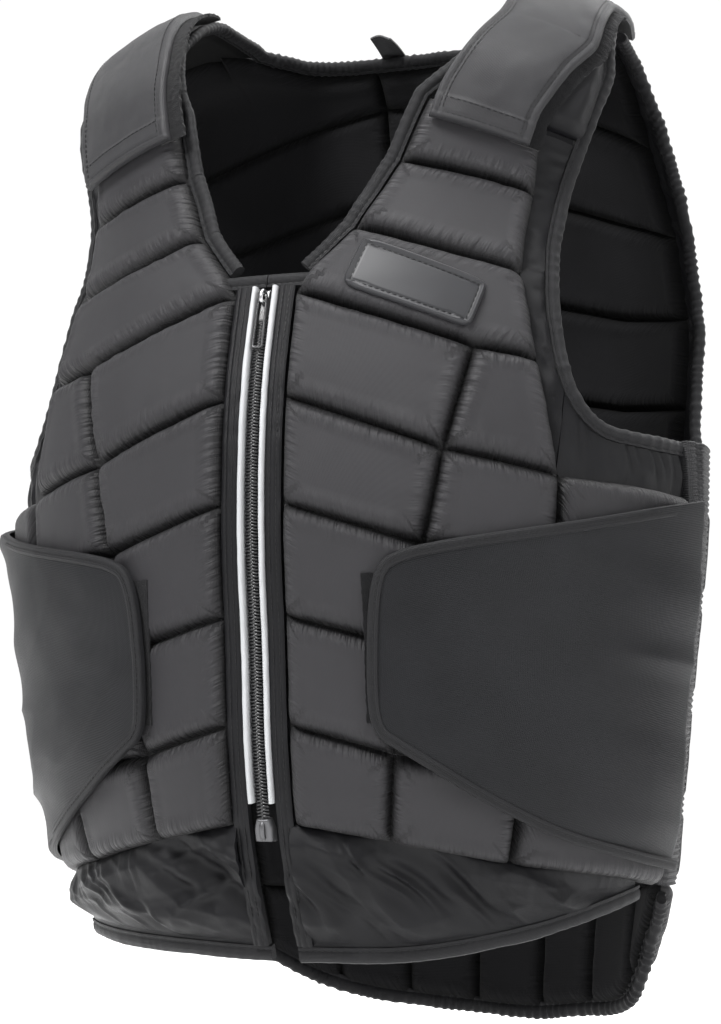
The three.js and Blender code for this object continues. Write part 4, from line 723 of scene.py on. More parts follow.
def add_front_panel(side, word):
    pitch = 2.0
    down = grid_steps(np.diff(FRONT_ROWS["run0"]) * CLOTH_RUN, pitch)
    across = grid_steps(FRONT_WIDTHS, pitch * 0.85)
    angle, run = (bilinear(values, down, across) for values in front_grid(side))
    column, row = whole_places(across), whole_places(down)
    seamed = [k for k in range(len(row)) if FRONT_ROWS["seam"][k]]
    ends = [column[2] if k < FIRST_FULL_ROW else column[3] for k in range(len(row))]
    lines = [(0, row[k], slice(0, ends[k] + 1)) for k in seamed]
    lines += [(1, column[0], slice(None)), (1, column[1], slice(row[FIRST_DIVIDED_ROW], None))]
    lines += [(1, column[2], slice(None)), (1, column[3], slice(None))]
    holds = (across[None, :-1] < 2) | (down[:-1, None] >= FIRST_FULL_ROW)
    high = add_pads(f"quilted_front_{word}", angle, run, lines, 11 if side > 0 else 23, f"front_panel_{word}",
                    side, holds)
    for k in seamed:
        cut = row[k], slice(2, ends[k] - 2)
        stitch_path(angle[cut], run[cut], high[cut] + ON_SEAM, side)


def back_grid():
    """Signed angles and runs of the back quilting's table, from side to side."""
    runs = np.stack([BACK_ROWS[k] for k in ("inner", "middle", "outer", "side")], -1) * CLOTH_RUN
    count = len(runs)
    angles = np.stack([np.full(count, float(BACK_INNER)), np.full(count, float(BACK_MIDDLE)),
                       BACK_ROWS["edge"], np.full(count, float(BACK_SIDE))], -1)
    return np.concatenate([-angles[:, ::-1], angles], 1), np.concatenate([runs[:, ::-1], runs], 1)


BACK_ANGLES, BACK_RUNS = back_grid()


def add_back_panel():
    pitch = 2.7
    down = grid_steps(np.diff(BACK_ROWS["inner"]) * CLOTH_RUN, pitch)
    across = grid_steps(BACK_WIDTHS, pitch)
    angle, run = (bilinear(values, down, across) for values in (BACK_ANGLES, BACK_RUNS))
    column, row = whole_places(across), whole_places(down)
    on_neck = (angle[0] > BACK_NECK["angle"][0]) & (angle[0] < BACK_NECK["angle"][-1])
    neck = np.where(on_neck, through(BACK_NECK, "run", angle[0]) * CLOTH_RUN, run[0])
    first = down < 1
    run[first] = lerp(neck, run[row[1]], down[first][:, None])
    inside = slice(column[1], column[6] + 1)
    lines = [(0, r, inside if k < BACK_FULL_ROW else slice(None)) for k, r in enumerate(row)]
    lower = slice(row[BACK_FULL_ROW], None)
    lines += [(1, c, lower if k in (2, 5) else slice(None)) for k, c in enumerate(column)]
    holds = ((across[None, :-1] >= 1) & (across[None, :-1] < 6)) | (down[:-1, None] >= BACK_FULL_ROW)
    add_pads("quilted_back", 180 + angle, run, lines, 37, "back_panel", holds=holds)


# Narrow pieces along a path

STITCH_LINES = []


def stitch_line(points, out, side=1):
    """Remembers a row of stitches, which are all made together at the end."""
    STITCH_LINES.append((points * [side, 1, 1], out * [side, 1, 1]))


def stitch_path(angle, run, height, side=1):
    stitch_line(above(angle, run, height), outward(angle, run), side)


# Cross-section of a binding from its sewn edge round its free edge: share of the width, and share
# of half the thickness
BINDING_SECTION = table("across height", [
    (0.0, 0.72), (0.12, 0.8), (0.22, 0.6), (0.34, 0.86), (0.6, 1.0), (0.86, 0.8), (1.0, 0.25),
])


STITCH_SHARE = 0.22  # of a binding's width
STITCH_HEIGHT = 0.62  # of half its thickness


def add_binding(name, angle, run, free, sewn, side, node, gather, pitch, seed):
    """Binding along a path. free and sewn are the distances of its edges to the left of the path,
    gather the depth of its ribs and pitch their spacing."""
    centres = surface(angle, run)
    left, out = left_of(angle, run), outward(angle, run)
    along = arc(centres[:, None], 0)[:, 0]
    phase = 2 * math.pi * along / pitch + 5 * noise(along / 17, seed, 0.5, seed)
    rib = (0.5 + 0.5 * np.sin(phase)) ** 1.4 * (0.62 + 0.5 * noise(along / 7, seed, 3.5, seed))
    sway = 0.5 * gather * noise(along / 11, seed, 5.5, seed)
    swell = gather * rib
    width = free - sewn
    reach = width + np.sign(width) * (0.5 * swell + 0.5 * noise(along / 17, seed, 7.5, seed))
    shares, heights = BINDING_SECTION["across"], BINDING_SECTION["height"]
    middle = (BINDING_LOW + BINDING_HIGH) / 2 + sway[:, None]
    across = sewn + reach[:, None] * shares
    half = BINDING_THICKNESS / 2 * heights + swell[:, None] * np.minimum(heights, 1 - 0.5 * shares)
    top = np.stack([across, middle + half], -1)
    bottom = np.stack([across, middle - half], -1)[:, ::-1]
    section = np.concatenate([top, bottom], 1)
    tube(name, centres, left, out, section, [BINDING], side, replaces=[node], slot="binding_cloth")
    at = sewn + reach * STITCH_SHARE
    height = middle[:, 0] + BINDING_THICKNESS / 2 * STITCH_HEIGHT + swell * 0.5
    stitch_line(centres + left * at[:, None] + out * height[:, None], out, side)


def capsules(name, starts, ends, out, radius, materials, corners=4, **words):
    """Small rounded rods from starts to ends, all in one mesh. starts, ends and out are lists of
    arrays of points and of directions away from the cloth."""
    starts, ends, out = (np.concatenate(v) for v in (starts, ends, out))
    shares = np.array([0, 0.1, 0.5, 0.9, 1])
    swell = np.array([0.35, 0.9, 1, 0.9, 0.35]) * radius
    axis = unit(ends - starts)
    sideways = unit(np.cross(axis, out))
    upward = np.cross(sideways, axis)
    turns = (np.arange(corners) + 0.5) * 2 * math.pi / corners
    centres = starts[:, None] + (ends - starts)[:, None] * shares[None, :, None]
    ring = np.cos(turns)[:, None] * sideways[:, None, None] + np.sin(turns)[:, None] * upward[:, None, None]
    points = centres[:, :, None] + ring * swell[:, None, None]
    number = np.arange(5 * corners).reshape(5, corners)
    one = [cap(number[0]), cap(number[-1][::-1])]
    for k in range(corners):
        a, b = number[:, k], number[:, (k + 1) % corners]
        one.append(np.stack([a[:-1], b[:-1], b[1:], a[1:]], -1))
    one = np.concatenate(one)
    faces = (one[None] + (np.arange(len(starts)) * number.size)[:, None, None]).reshape(-1, 4)
    add_mesh(name, points.reshape(-1, 3), faces, materials, **words)


STITCH_PITCH = 3.3
STITCH_LENGTH = 2.3
STITCH_RADIUS = 0.27


def follow(at, along, points):
    """Points at given lengths along a line."""
    return np.stack([np.interp(at, along, points[:, k]) for k in range(3)], -1)


def add_stitches():
    """Every remembered row of stitches, as short threads that dip into the cloth."""
    starts, ends, outs = [], [], []
    for points, out in STITCH_LINES:
        along = arc(points[:, None], 0)[:, 0]
        at = np.arange(STITCH_PITCH / 2, along[-1], STITCH_PITCH)
        start, end = (follow(at + shift, along, points) for shift in (0, STITCH_LENGTH))
        keep = np.linalg.norm(end - start, axis=1) > 0.5 * STITCH_LENGTH
        starts.append(start[keep])
        ends.append(end[keep])
        outs.append(follow(at, along, out)[keep])
    capsules("stitching", starts, ends, outs, STITCH_RADIUS, [THREAD], slot="binding_cloth")


# Tail and loose cloth

def add_tail():
    across = grid_steps(np.diff(TAIL_SEAMS), 1)
    down = np.linspace(0, 1, 34)
    angle = np.interp(across, np.arange(len(TAIL_SEAMS)), TAIL_SEAMS)
    last = np.interp(angle, BACK_ANGLES[-1], BACK_RUNS[-1]) - 1
    end = through(TAIL_EDGE, "run", angle) * CLOTH_RUN + 3
    run = lerp(last, end, down[:, None])
    angle = np.broadcast_to(180 + angle, run.shape)
    lines = [(0, 0, slice(None)), (0, len(down) - 1, slice(None))]
    lines += [(1, c, slice(None)) for c in whole_places(across)]
    add_pads("quilted_tail", angle, run, lines, 53, "back_tail", rise=TAIL_FILL * PAD_RISE)
    edge_angle, edge_run = path({"angle": 180 + TAIL_EDGE["angle"], "run": TAIL_EDGE["run"]}, 1.1)
    add_binding("tail_hem", edge_angle, edge_run, -HEM_WIDTH - GAP, -GAP, 1, "back_hem_binding", 1.9, 5.6, 5)


def front_hem(side):
    return FRONT_HEM_LEFT if side > 0 else FRONT_HEM_RIGHT


def add_skirt(side, word):
    across, down = np.linspace(0, 1, 150), np.linspace(0, 1, 60)[:, None]
    seam_angle, seam_run = FRONT_ANGLES[-1], FRONT_RUNS[-1]
    near = lerp(seam_angle[0], SKIRT_END, across)
    end = line(front_hem(side), "run", near) * CLOTH_RUN - HEM_WIDTH + 3
    start = np.interp(near, seam_angle, seam_run) - 1
    run = lerp(start, end, down)
    last = SKIRT_END - SKIRT_SLANT * down if side < 0 else SKIRT_END + SKIRT_REACH
    angle = lerp(angle_at(FACING_EDGE + GAP - 2, run), last, across)
    x, _, z = coordinates(angle, run)
    seed = 61 if side > 0 else 71
    slanted = (x * 0.8 + z * 0.6) if side > 0 else (x * 0.6 - z * 0.8)
    bend = 7 * noise(x / 30, z / 30, 9.5, seed)
    folds = 1 - 2.2 * np.abs(noise((slanted + bend) / 17, (z - x * 0.4) / 60, 0.5, seed)) ** 0.8
    small = sharp_folds((slanted - bend) / 7, z / 26, 4.5, seed + 1)
    cross = sharp_folds((x * 0.4 + z) / 11, x / 40, 2.5, seed + 2)
    from_seam, to_hem = run - start, end - run
    fade = np.clip(from_seam / 9, 0, 1) ** 0.6 * np.clip((to_hem - 4) / 12, 0, 1) ** 0.7
    fade = fade * np.clip((1 - across) * 16, 0.15, 1)
    middle = -SEAM_THICKNESS / 2 + (5.6 * folds + 2.6 * small + 2.2 * cross) * fade
    middle = middle + 1.2 * noise(across * 60, 0.5, 0.5, seed) * np.clip(1 - from_seam / 25, 0, 1) * fade
    add_cloth(f"loose_front_{word}", angle, run, middle, side, f"front_skirt_{word}",
              ("hung", [f"quilted_front_{word}"]))
    hem_angle, hem_run = path(front_hem(side), 1.5)
    add_binding(f"front_hem_{word}", hem_angle, hem_run, 0, HEM_WIDTH, side, f"front_hem_binding_{word}",
                0.3, 9.0, seed)


# Armholes

class ArmholeHalf:
    """Half of an armhole: its free edge and the pads' edge, both followed from 0 at the shoulder
    to 1 at the lowest pad corner and 2 at the side."""

    def __init__(self, rows, corner_run, first_run, pads):
        self.angle, self.run = path(rows, 1.0)
        self.left = left_of(self.angle, self.run)
        self.start = int(np.argmax(self.run >= first_run * CLOTH_RUN))
        self.turn = int(np.argmax(self.run >= corner_run * CLOTH_RUN))
        self.pads = pads

    def free(self, w, distance):
        last = len(self.run) - 1
        k = np.where(w <= 1, lerp(self.start, self.turn, w), lerp(self.turn, last, w - 1))
        spots = np.arange(len(self.run))
        angle, run = moved(self.angle, self.run, self.left * distance)
        return np.interp(k, spots, angle), np.interp(k, spots, run)


def pad_edge(w, runs, angles, side_run, side_angle):
    """Places on the pads' edge, down their outer corners and then along the top of the side pads."""
    run = lerp(runs[0] + 0.002, runs[-1] - 0.003, np.minimum(w, 1))
    beyond = np.clip(w - 1, 0, 1)
    low_angle = lerp(angles[-1], side_angle, beyond)
    low_run = lerp(runs[-1], side_run, beyond) * CLOTH_RUN + GAP
    angle = np.where(w <= 1, np.interp(run, runs, angles), low_angle)
    return angle, np.where(w <= 1, run * CLOTH_RUN, low_run)


FRONT_UPPER = slice(0, FIRST_FULL_ROW + 1)
BACK_UPPER = slice(0, BACK_FULL_ROW + 1)
FRONT_PADS = (FRONT_ROWS["run2"][FRONT_UPPER], FRONT_ROWS["angle2"][FRONT_UPPER] - TUCK,
              FRONT_ROWS["run3"][FIRST_FULL_ROW], SIDE_JOINT)
BACK_PADS = (BACK_ROWS["outer"][BACK_UPPER], 180 - BACK_ROWS["edge"][BACK_UPPER] + TUCK,
             BACK_ROWS["side"][BACK_FULL_ROW], 180 - BACK_SIDE)


def add_band(name, half, distance, ends, side, node, seed, depth=1.3):
    """Puckered cloth between the pads and the armhole binding."""
    length = 260 * (min(ends[1], 1) - min(ends[0], 1)) + 90 * (max(ends[1], 1) - max(ends[0], 1))
    w = np.linspace(*ends, round(length / 1.5))
    share = np.linspace(0, 1, 12)
    pads, free = pad_edge(w, *half.pads), half.free(w, distance)
    angle = lerp(pads[0][:, None], free[0][:, None], share)
    run = lerp(pads[1][:, None], free[1][:, None], share)
    along = arc(surface(angle, run), 0)
    bulge = np.sin(np.clip(share, 0.04, 0.96) * math.pi) ** 0.6
    puckers = noise(along / 3.6, share * 1.1, 0.5, seed) + 0.6 * noise(along / 8, share * 1.6, 8.5, seed)
    middle = -SEAM_THICKNESS / 2 + depth * puckers * (0.35 + 0.65 * bulge) + 0.5 * bulge
    add_cloth(name, angle, run, middle, side, node, ("gathered", []))


def add_armhole(side, word):
    front = ArmholeHalf(ARMHOLE_FRONT, 0.452, 0.226, FRONT_PADS)
    back = ArmholeHalf(ARMHOLE_BACK, 0.455, 0.028, BACK_PADS)
    seed = 80 if side > 0 else 90
    add_band(f"front_band_{word}", front, -BAND_EDGE, (0, 0.995), side, f"armhole_band_front_{word}", seed)
    add_band(f"gusset_{word}", front, -BAND_EDGE, (1.0, 2), side, f"side_gusset_{word}", seed + 1, 1.7)
    add_band(f"back_band_{word}", back, BAND_EDGE, (0, 2), side, f"armhole_band_back_{word}", seed + 2)
    angle, run = path(ARMHOLE_FRONT, 1.0)
    add_binding(f"front_arm_binding_{word}", angle, run, 0, -BINDING_WIDTH, side,
                f"armhole_binding_front_{word}", 0.8, 7.0, seed + 3)
    angle, run = path(ARMHOLE_BACK, 1.0)
    add_binding(f"back_arm_binding_{word}", angle, run, 0, BINDING_WIDTH, side,
                f"armhole_binding_back_{word}", 1.5, 4.8, seed + 4)


# Neck

def neck_edge(share, side):
    lean = line(SHOULDER_ROWS, "lean", share) if side < 0 else 0
    return (line(SHOULDER_ROWS, "neck", share) - lean) * HALF_WIDTH


def back_top_edge(angle):
    """Run of the back panel's top edge at signed angles from the middle of the back."""
    size = np.abs(angle)
    outer = np.interp(size, [BACK_INNER, BACK_MIDDLE, BACK_ROWS["edge"][0]], BACK_RUNS[0, 4:7])
    inside = (angle > BACK_NECK["angle"][0]) & (angle < BACK_NECK["angle"][-1])
    return np.where(inside, through(BACK_NECK, "run", angle) * CLOTH_RUN, outer)


def back_top_run(x, side):
    """Run of the same edge at distances from the middle plane."""
    angle = np.linspace(-53, 53, 240)
    run = back_top_edge(angle)
    at = surface(180 + angle, run)[:, 0] * side
    order = np.argsort(at)
    return np.interp(x, at[order], run[order])


def add_neck_bindings():
    free, sewn = BINDING_WIDTH + 2 * GAP, 2 * GAP
    corners = []
    for side, word in SIDES:
        shares = SHOULDER_ROWS["run"]
        shares = shares[(shares >= 0) & (shares < FRONT_ROWS["run0"][0])]
        yoke = angle_at(neck_edge(shares, side), shares * CLOTH_RUN)[::-1]
        angles, runs = front_grid(side)
        angle = np.concatenate([angles[NECK_CORNER_ROW::-1, 0], yoke])
        run = np.concatenate([runs[NECK_CORNER_ROW::-1, 0], shares[::-1] * CLOTH_RUN])
        x = neck_edge(YOKE_BACK, side)
        back = back_top_run(x, side)
        corner = float(angle_at(x, back, True))
        corners.append(corner if side > 0 else 360 - corner)
        angle, run = straight_path(angle, run, 1.1)
        behind = np.linspace(0.5, float(back), round(float(back) / 1.1))
        beside = lerp(float(neck_edge(0.0, side)), float(x), behind / float(back))
        angle = np.concatenate([angle, angle_at(beside, behind, True)])
        run = np.concatenate([run, behind])
        add_binding(f"neck_side_{word}", angle, run, free, sewn, side, f"neck_binding_{word}", 0.9, 5.0, 33)
        run = NECK_RUN * CLOTH_RUN + BINDING_WIDTH
        angle = angle_at(np.array([GAP / 2, FACING_EDGE + 8]), np.array([run, run]))
        add_binding(f"neck_front_{word}", *straight_path(angle, np.array([run, run]), 1.0),
                    BINDING_WIDTH, 0, side, f"neck_front_binding_{word}", 0.3, 6.0, 35)
    edge = np.linspace(corners[0], corners[1], 220)
    run = back_top_edge(edge - 180)
    add_binding("neck_back", *straight_path(edge, run, 1.1), free, sewn, 1, "neck_binding_back",
                1.5, 4.6, 39)


# Shoulders

def add_yoke(side, word):
    front = FRONT_ROWS["run0"][0] * CLOTH_RUN
    across = np.linspace(0, 1, 46)
    behind = np.linspace(1, 0, 14, endpoint=False)[:, None]
    down = np.linspace(0, 1, 84)[:, None]
    arm_angle, arm_run = path(ARMHOLE_FRONT, 1.0)
    arm_in = moved(arm_angle, arm_run, left_of(arm_angle, arm_run) * -BAND_EDGE)
    arm_x = surface(*arm_in)[:, 0]
    rising = np.maximum.accumulate(arm_run)
    first_x = lerp(neck_edge(0.0, side) + 2 * GAP, np.interp(0, rising, arm_x), across)
    last_x = lerp(neck_edge(YOKE_BACK, side) + 2 * GAP, np.interp(0, rising, arm_x) - YOKE_INSET, across)
    back_x = lerp(first_x, last_x, behind)
    back_run = (back_top_run(last_x, side) - 0.4) * behind
    run = front * down + 0 * across
    share = run / CLOTH_RUN
    front_x = lerp(neck_edge(share, side) + 2 * GAP, np.interp(run, rising, arm_x), across)
    slope = (FRONT_ROWS["run2"][0] - FRONT_ROWS["run0"][0]) * CLOTH_RUN * across
    front_run = run + (slope - 0.4) * down
    angle = np.concatenate([angle_at(back_x, back_run, True), angle_at(front_x, run)])
    run = np.concatenate([back_run, front_run])
    x, _, z = coordinates(angle, run)
    seed = 101 if side > 0 else 111
    crumple = sharp_folds((x + z * 0.3) / 9, z / 26, 0.5, seed)
    fine = noise(x / 4, z / 9, 2.5, seed)
    toward_arm = np.clip((across - 0.3) / 0.5, 0, 1)
    to_end = np.concatenate([(1 - behind) * 14, (1 - down) * front * 0.9 + 0.3]) + 0 * across
    sewn = 1 - np.clip(to_end / 7, 0, 1)
    edge = edge_fade(across, 12)
    calm = edge * (1 - sewn)
    high = YOKE_THICKNESS / 2 + calm * toward_arm * (1.7 * crumple + 0.6 * fine) - 1.6 * (1 - edge)
    high = high + 2.0 * calm * toward_arm - 4.0 * sewn ** 2
    low = -YOKE_THICKNESS / 2 + 1.2 * (1 - edge)
    layer(f"yoke_{word}", angle, run, low, high, [LOOSE, LINING], side,
          replaces=[f"shoulder_yoke_{word}"], slot="loose_cloth")


STRAP_STITCHES = (3.4, 4.9)
STRAP_END_STITCHES = (3.4, 11.5)


def strap_place(share, x, side):
    """Place on a strap x mm from its inner edge."""
    inner = through(SHOULDER_ROWS, "strap" if side > 0 else "strap_right", share) * HALF_WIDTH
    slant = (x / strap_width(share, side) - 0.5) * STRAP_SLANT * np.clip(share / STRAP_FRONT, 0, 1)
    run = share * CLOTH_RUN + slant
    front = angle_at(inner + x, np.abs(run))
    return np.where(run < 0, angle_at(inner + x, np.abs(run), True), front), np.abs(run)


def strap_lift(share):
    return line(SHOULDER_ROWS, "lift", share) * PAD_THICKNESS


def strap_width(share, side):
    return STRAP_WIDTH * through(STRAP_WIDTHS, "left" if side > 0 else "right", share)


def rounded_edge(distance):
    """Share of a strap's height near its edges."""
    return np.sqrt(np.clip(1 - (1 - np.minimum(distance / 1.8, 1)) ** 2, 0, 1))


def strap_high(share, x, side):
    """Height of a strap's outer face."""
    width = strap_width(share, side)
    inset = np.clip(np.minimum(x, width - x), 0, None)
    to_end = np.clip(np.minimum(STRAP_FRONT - share, share - STRAP_BACK) * CLOTH_RUN, 0, None)
    whole = rounded_edge(inset) * rounded_edge(to_end)
    hem = np.clip((13 - to_end) / 1.2, 0, 1) * 0.5
    first = STRAP_STITCHES[0]
    groove = 0.6 * np.exp(-((inset - first) / 0.7) ** 2) + 0.55 * np.exp(-((to_end - first) / 0.7) ** 2)
    seed = 7 if side > 0 else 9
    wave = 0.9 * noise(x / 16, share * 24, 0.5, seed) + 0.3 * noise(x / 5, share * 60, 2.5, seed)
    return strap_lift(share) + STRAP_THICKNESS * (0.45 + 0.55 * whole) + hem - groove + wave * whole


def add_strap(side, word):
    share = np.linspace(STRAP_BACK, STRAP_FRONT, 190)[:, None]
    across = np.linspace(0, 1, 48)
    x = across * strap_width(share, side)
    angle, run = strap_place(share, x, side)
    layer(f"strap_{word}", angle, run, strap_lift(share), strap_high(share, x, side), [STRAP], side,
          replaces=[f"shoulder_strap_{word}"], slot="loose_cloth", sheet=("laid", [f"yoke_{word}"]))
    for from_side in STRAP_STITCHES:
        for at_end in (False, True):
            s = np.linspace(STRAP_BACK + 0.006, STRAP_FRONT - 0.006, 140)
            at = strap_width(s, side) - from_side if at_end else from_side
            stitch_path(*strap_place(s, at, side), strap_high(s, at, side) + 0.12, side)
    for from_end in STRAP_END_STITCHES:
        a = np.linspace(0.06, 0.94, 50)
        s = np.full_like(a, STRAP_FRONT - from_end / CLOTH_RUN)
        at = a * strap_width(s, side)
        stitch_path(*strap_place(s, at, side), strap_high(s, at, side) + 0.12, side)


def add_hook_strip(side, word):
    share = np.linspace(HOOK_START, STRAP_FRONT, 150)[:, None]
    reach = np.linspace(0, 1, 18)
    width = strap_width(share, side)
    start = width - HOOK_TUCK if side > 0 else np.full_like(width, -HOOK_PEEK)
    ragged = 0.6 * noise(share * 300, reach * 2, 0.5, 13)
    narrower = 3 if side > 0 else 0
    x = start + (HOOK_TUCK + HOOK_PEEK - narrower) * reach + ragged
    angle, run = strap_place(share, x, side)
    high = strap_lift(share) - 0.4 + 0.45 * noise(share * 420, reach * 14, 2.5, 15)
    low = strap_lift(share) - HOOK_THICKNESS - 0.9
    layer(f"hook_{word}", angle, run, low, high, [HOOK], side, replaces=[f"hook_strip_{word}"],
          slot="hook_cloth", sheet=("laid", [f"yoke_{word}"]))


# Waist

def wrap_waves(x, z, seed):
    broad = noise(x / 55, z / 40, 0.5, seed + 1)
    folds = sharp_folds((x + 0.8 * z) / 38, (z - 0.7 * x) / 110, 3.5, seed + 3)
    return 1.1 * broad + 1.3 * folds + 0.3 * noise(x / 15, z / 11, 5.5, seed + 2)


def side_height(angle):
    """Height of the pads' cloth, which falls to the side seam."""
    away = (SIDE_JOINT - angle) * math.pi / 180 * HALF_DEPTH
    return -CREASE + (PAD_RISE + CREASE) * rise_of(np.clip(away, 0, None)) + 0.5 * away


def add_wrap(side, word):
    columns = np.linspace(0, 1, 110) ** 1.15
    rows = np.linspace(0, 1, 90)[:, None]
    angle = lerp(WRAP_ROWS["angle"][0], WRAP_ROWS["angle"][-1], columns)
    top = line(WRAP_ROWS, "top", angle) * CLOTH_RUN
    bottom = line(WRAP_ROWS, "bottom", angle) * CLOTH_RUN
    run = lerp(top, bottom, rows)
    angle = np.broadcast_to(angle, run.shape)
    x, _, z = coordinates(angle, run)
    seed = 121 if side > 0 else 131
    near_side = np.clip((columns - 0.4) / 0.4, 0, 1)
    creases = sharp_folds((z + 0.25 * np.abs(x)) / 23, x / 60, 0.5, seed)
    pull = 0.5 * columns + 3.2 * creases * near_side
    lift = np.minimum(WRAP_LIFT - 0.4 + wrap_waves(x, z, seed) + pull, side_height(angle) + 2)
    layer(f"wrap_{word}", angle, run, lift, lift + WRAP_THICKNESS, [WRAP], side,
          replaces=[f"waist_wrap_{word}"], slot="wrap_cloth", sheet=("stretched", [f"quilted_front_{word}"]))
    outline = {
        "angle": np.concatenate([WRAP_ROWS["angle"][::-1], WRAP_ROWS["angle"]]),
        "run": np.concatenate([WRAP_ROWS["top"][::-1], WRAP_ROWS["bottom"]]),
    }
    angle, run = path(outline, 1.6)
    left, out = left_of(angle, run), outward(angle, run)
    centres = surface(angle, run)
    x, _, z = np.moveaxis(centres, -1, 0)
    lift = np.minimum(WRAP_LIFT - 0.2 + wrap_waves(x, z, seed), side_height(angle) + 2) + WRAP_THICKNESS
    pairs = [(-0.7, -3.1), (-0.8, -0.6), (-0.4, 0.5), (0.9, 0.8), (2.2, 0.55), (3.7, 0.85), (4.7, 0.6),
             (5.0, 0.0), (5.0, -0.4), (0.4, -0.6), (0.4, -3.0), (0.0, -3.3)]
    section = np.array(pairs)[None] + np.stack([0 * lift, lift], -1)[:, None]
    tube(f"wrap_edge_{word}", centres, left, out, section, [BINDING], side,
         replaces=[f"waist_wrap_binding_{word}"], slot="binding_cloth")
    stitch_line(centres + left * 2.2 + out * (lift + 0.7)[:, None], out, side)


def add_patch(side, word):
    tip = surface(WRAP_ROWS["angle"][0], PATCH_RUNS[0] * CLOTH_RUN)[0]
    down = np.linspace(0, 1, 70)[:, None]
    across = np.linspace(0, 1, 26)
    run = lerp(*PATCH_RUNS, down) * CLOTH_RUN
    x = tip - PATCH_PEEK + (PATCH_PEEK + PATCH_TUCK) * across + 0.5 * noise(down * 40, 0.5, 0.5, 17)
    angle = angle_at(x, run)
    high = ON_PADS + HOOK_THICKNESS - 0.5 + 0.4 * noise(down * 60, across * 20, 0.5, 19)
    layer(f"hook_patch_{word}", angle, run, ON_PADS - 0.4, high, [HOOK], side,
          replaces=[f"wrap_patch_{word}"], slot="hook_cloth", sheet=("laid", [f"quilted_front_{word}"]))


RIB_PITCH = 3.2


def add_webbing(side, word):
    last = FRONT_ROWS["run3"][-1] - 2 * GAP / CLOTH_RUN
    down = np.linspace(ARMHOLE_FRONT["run"][-1], last, 320)[:, None]
    across = np.linspace(0, 1, 14)
    angle = lerp(SIDE_JOINT - TUCK, 180 - BACK_SIDE + TUCK, across)
    run = down * CLOTH_RUN
    rib = 0.5 + 0.5 * np.sin(2 * math.pi * run / RIB_PITCH)
    edge = edge_fade(across, 8)
    high = 4.2 + 0.9 * rib * edge - 2.2 * (1 - edge)
    layer(f"webbing_{word}", angle, run, -SEAM_THICKNESS, high, [WEBBING], side,
          replaces=[f"side_webbing_{word}"], slot="webbing")


# Zip

def zip_strip(name, edges, runs, low, high, materials, side, nodes, slot, wave=0.0, steps=12):
    """Strip beside the zip between two distances from the middle plane. high is a function of the
    share across it."""
    share = np.linspace(0, 1, steps)
    run = np.linspace(*runs, round((runs[1] - runs[0]) * CLOTH_RUN / 1.5))[:, None] * CLOTH_RUN
    shift = wave * noise(run / 16, 0.5, 0.5, 41 if side > 0 else 43)
    angle = angle_at(lerp(*edges, share) + shift, run)
    low_down = np.clip(run / CLOTH_RUN - PIPING_END, 0, 0.05) * 20
    height = high(share) + 0.3 * noise(run / 5, share * 2, 0.5, 47) * (1 + 3 * low_down)
    layer(name, angle, run, low, height, materials, side, replaces=nodes, slot=slot)


FACING_STITCHES = (0.3, 0.7)


def facing_height(share):
    grooves = sum(np.exp(-((share - at) / 0.07) ** 2) for at in FACING_STITCHES)
    return 0.4 + 1.3 * np.sin(np.clip(share, 0.02, 0.98) * math.pi) ** 0.5 - 0.5 * grooves


def piping_height(share):
    return 0.6 + 2.0 * np.sqrt(np.clip(1 - (2 * share - 1) ** 2, 0, 1))


def tape_height(share):
    return np.full_like(share, -3.5)


def add_zip():
    top = NECK_RUN + (BINDING_WIDTH + GAP) / CLOTH_RUN
    hem = FRONT_HEM_LEFT["run"][0] - (HEM_WIDTH + GAP) / CLOTH_RUN
    low = -3.0
    for side, word in SIDES:
        zip_strip(f"facing_{word}", (PIPING_EDGE + GAP, FACING_EDGE), (top, hem), low, facing_height, [LOOSE],
                  side, [f"zip_facing_{word}"], "loose_cloth", steps=16)
        zip_strip(f"piping_{word}", (TEETH_EDGE + GAP, PIPING_EDGE), (top, PIPING_END), low, piping_height,
                  [PIPING], side, [f"zip_piping_{word}"], "piping", wave=0.35)
        zip_strip(f"tape_{word}", (GAP / 2, FACING_EDGE - 1), (top, PIPING_END), -4.6, tape_height, [TAPE],
                  side, [f"zip_tape_{word}"], "webbing", steps=5)
        for at in FACING_STITCHES:
            run = np.linspace(top + 0.004, hem - 0.004, 240) * CLOTH_RUN
            angle = angle_at(lerp(PIPING_EDGE + GAP, FACING_EDGE, at), run)
            stitch_path(angle, run, 1.15, side)
    add_coil(SLIDER_RUN + 0.02, STOP_RUN)


COIL_PITCH = 1.7
COIL_RADIUS = 0.72


def add_coil(first, last):
    run = np.arange(first * CLOTH_RUN, last * CLOTH_RUN, COIL_PITCH)
    starts, ends, outs = [], [], []
    for side, shift in ((1, 0), (-1, COIL_PITCH / 2)):
        at = run + shift
        angle = angle_at(0.7, at) * -side
        far = angle_at(TEETH_EDGE - 0.3, at + 0.5) * side
        starts.append(above(angle, at, 0.5))
        ends.append(above(far, at + 0.5, -0.6))
        outs.append(outward(angle, at))
    capsules("zip_coil", starts, ends, outs, COIL_RADIUS, [COIL], 6, replaces=["zip_teeth"],
             slot="tooth_plastic")


def zip_frame(share, height):
    """Origin and directions across, up and out at a place of the zip."""
    round_, down, out = directions(np.array([0.0]), np.array([share * CLOTH_RUN]))
    origin = above(np.array([0.0]), np.array([share * CLOTH_RUN]), np.array([height]))[0]
    return origin, unit(round_[0]), -unit(down[0]), out[0]


def in_frame(place, points):
    origin, across, up, out = place
    return origin + points[..., :1] * across + points[..., 1:2] * up + points[..., 2:] * out


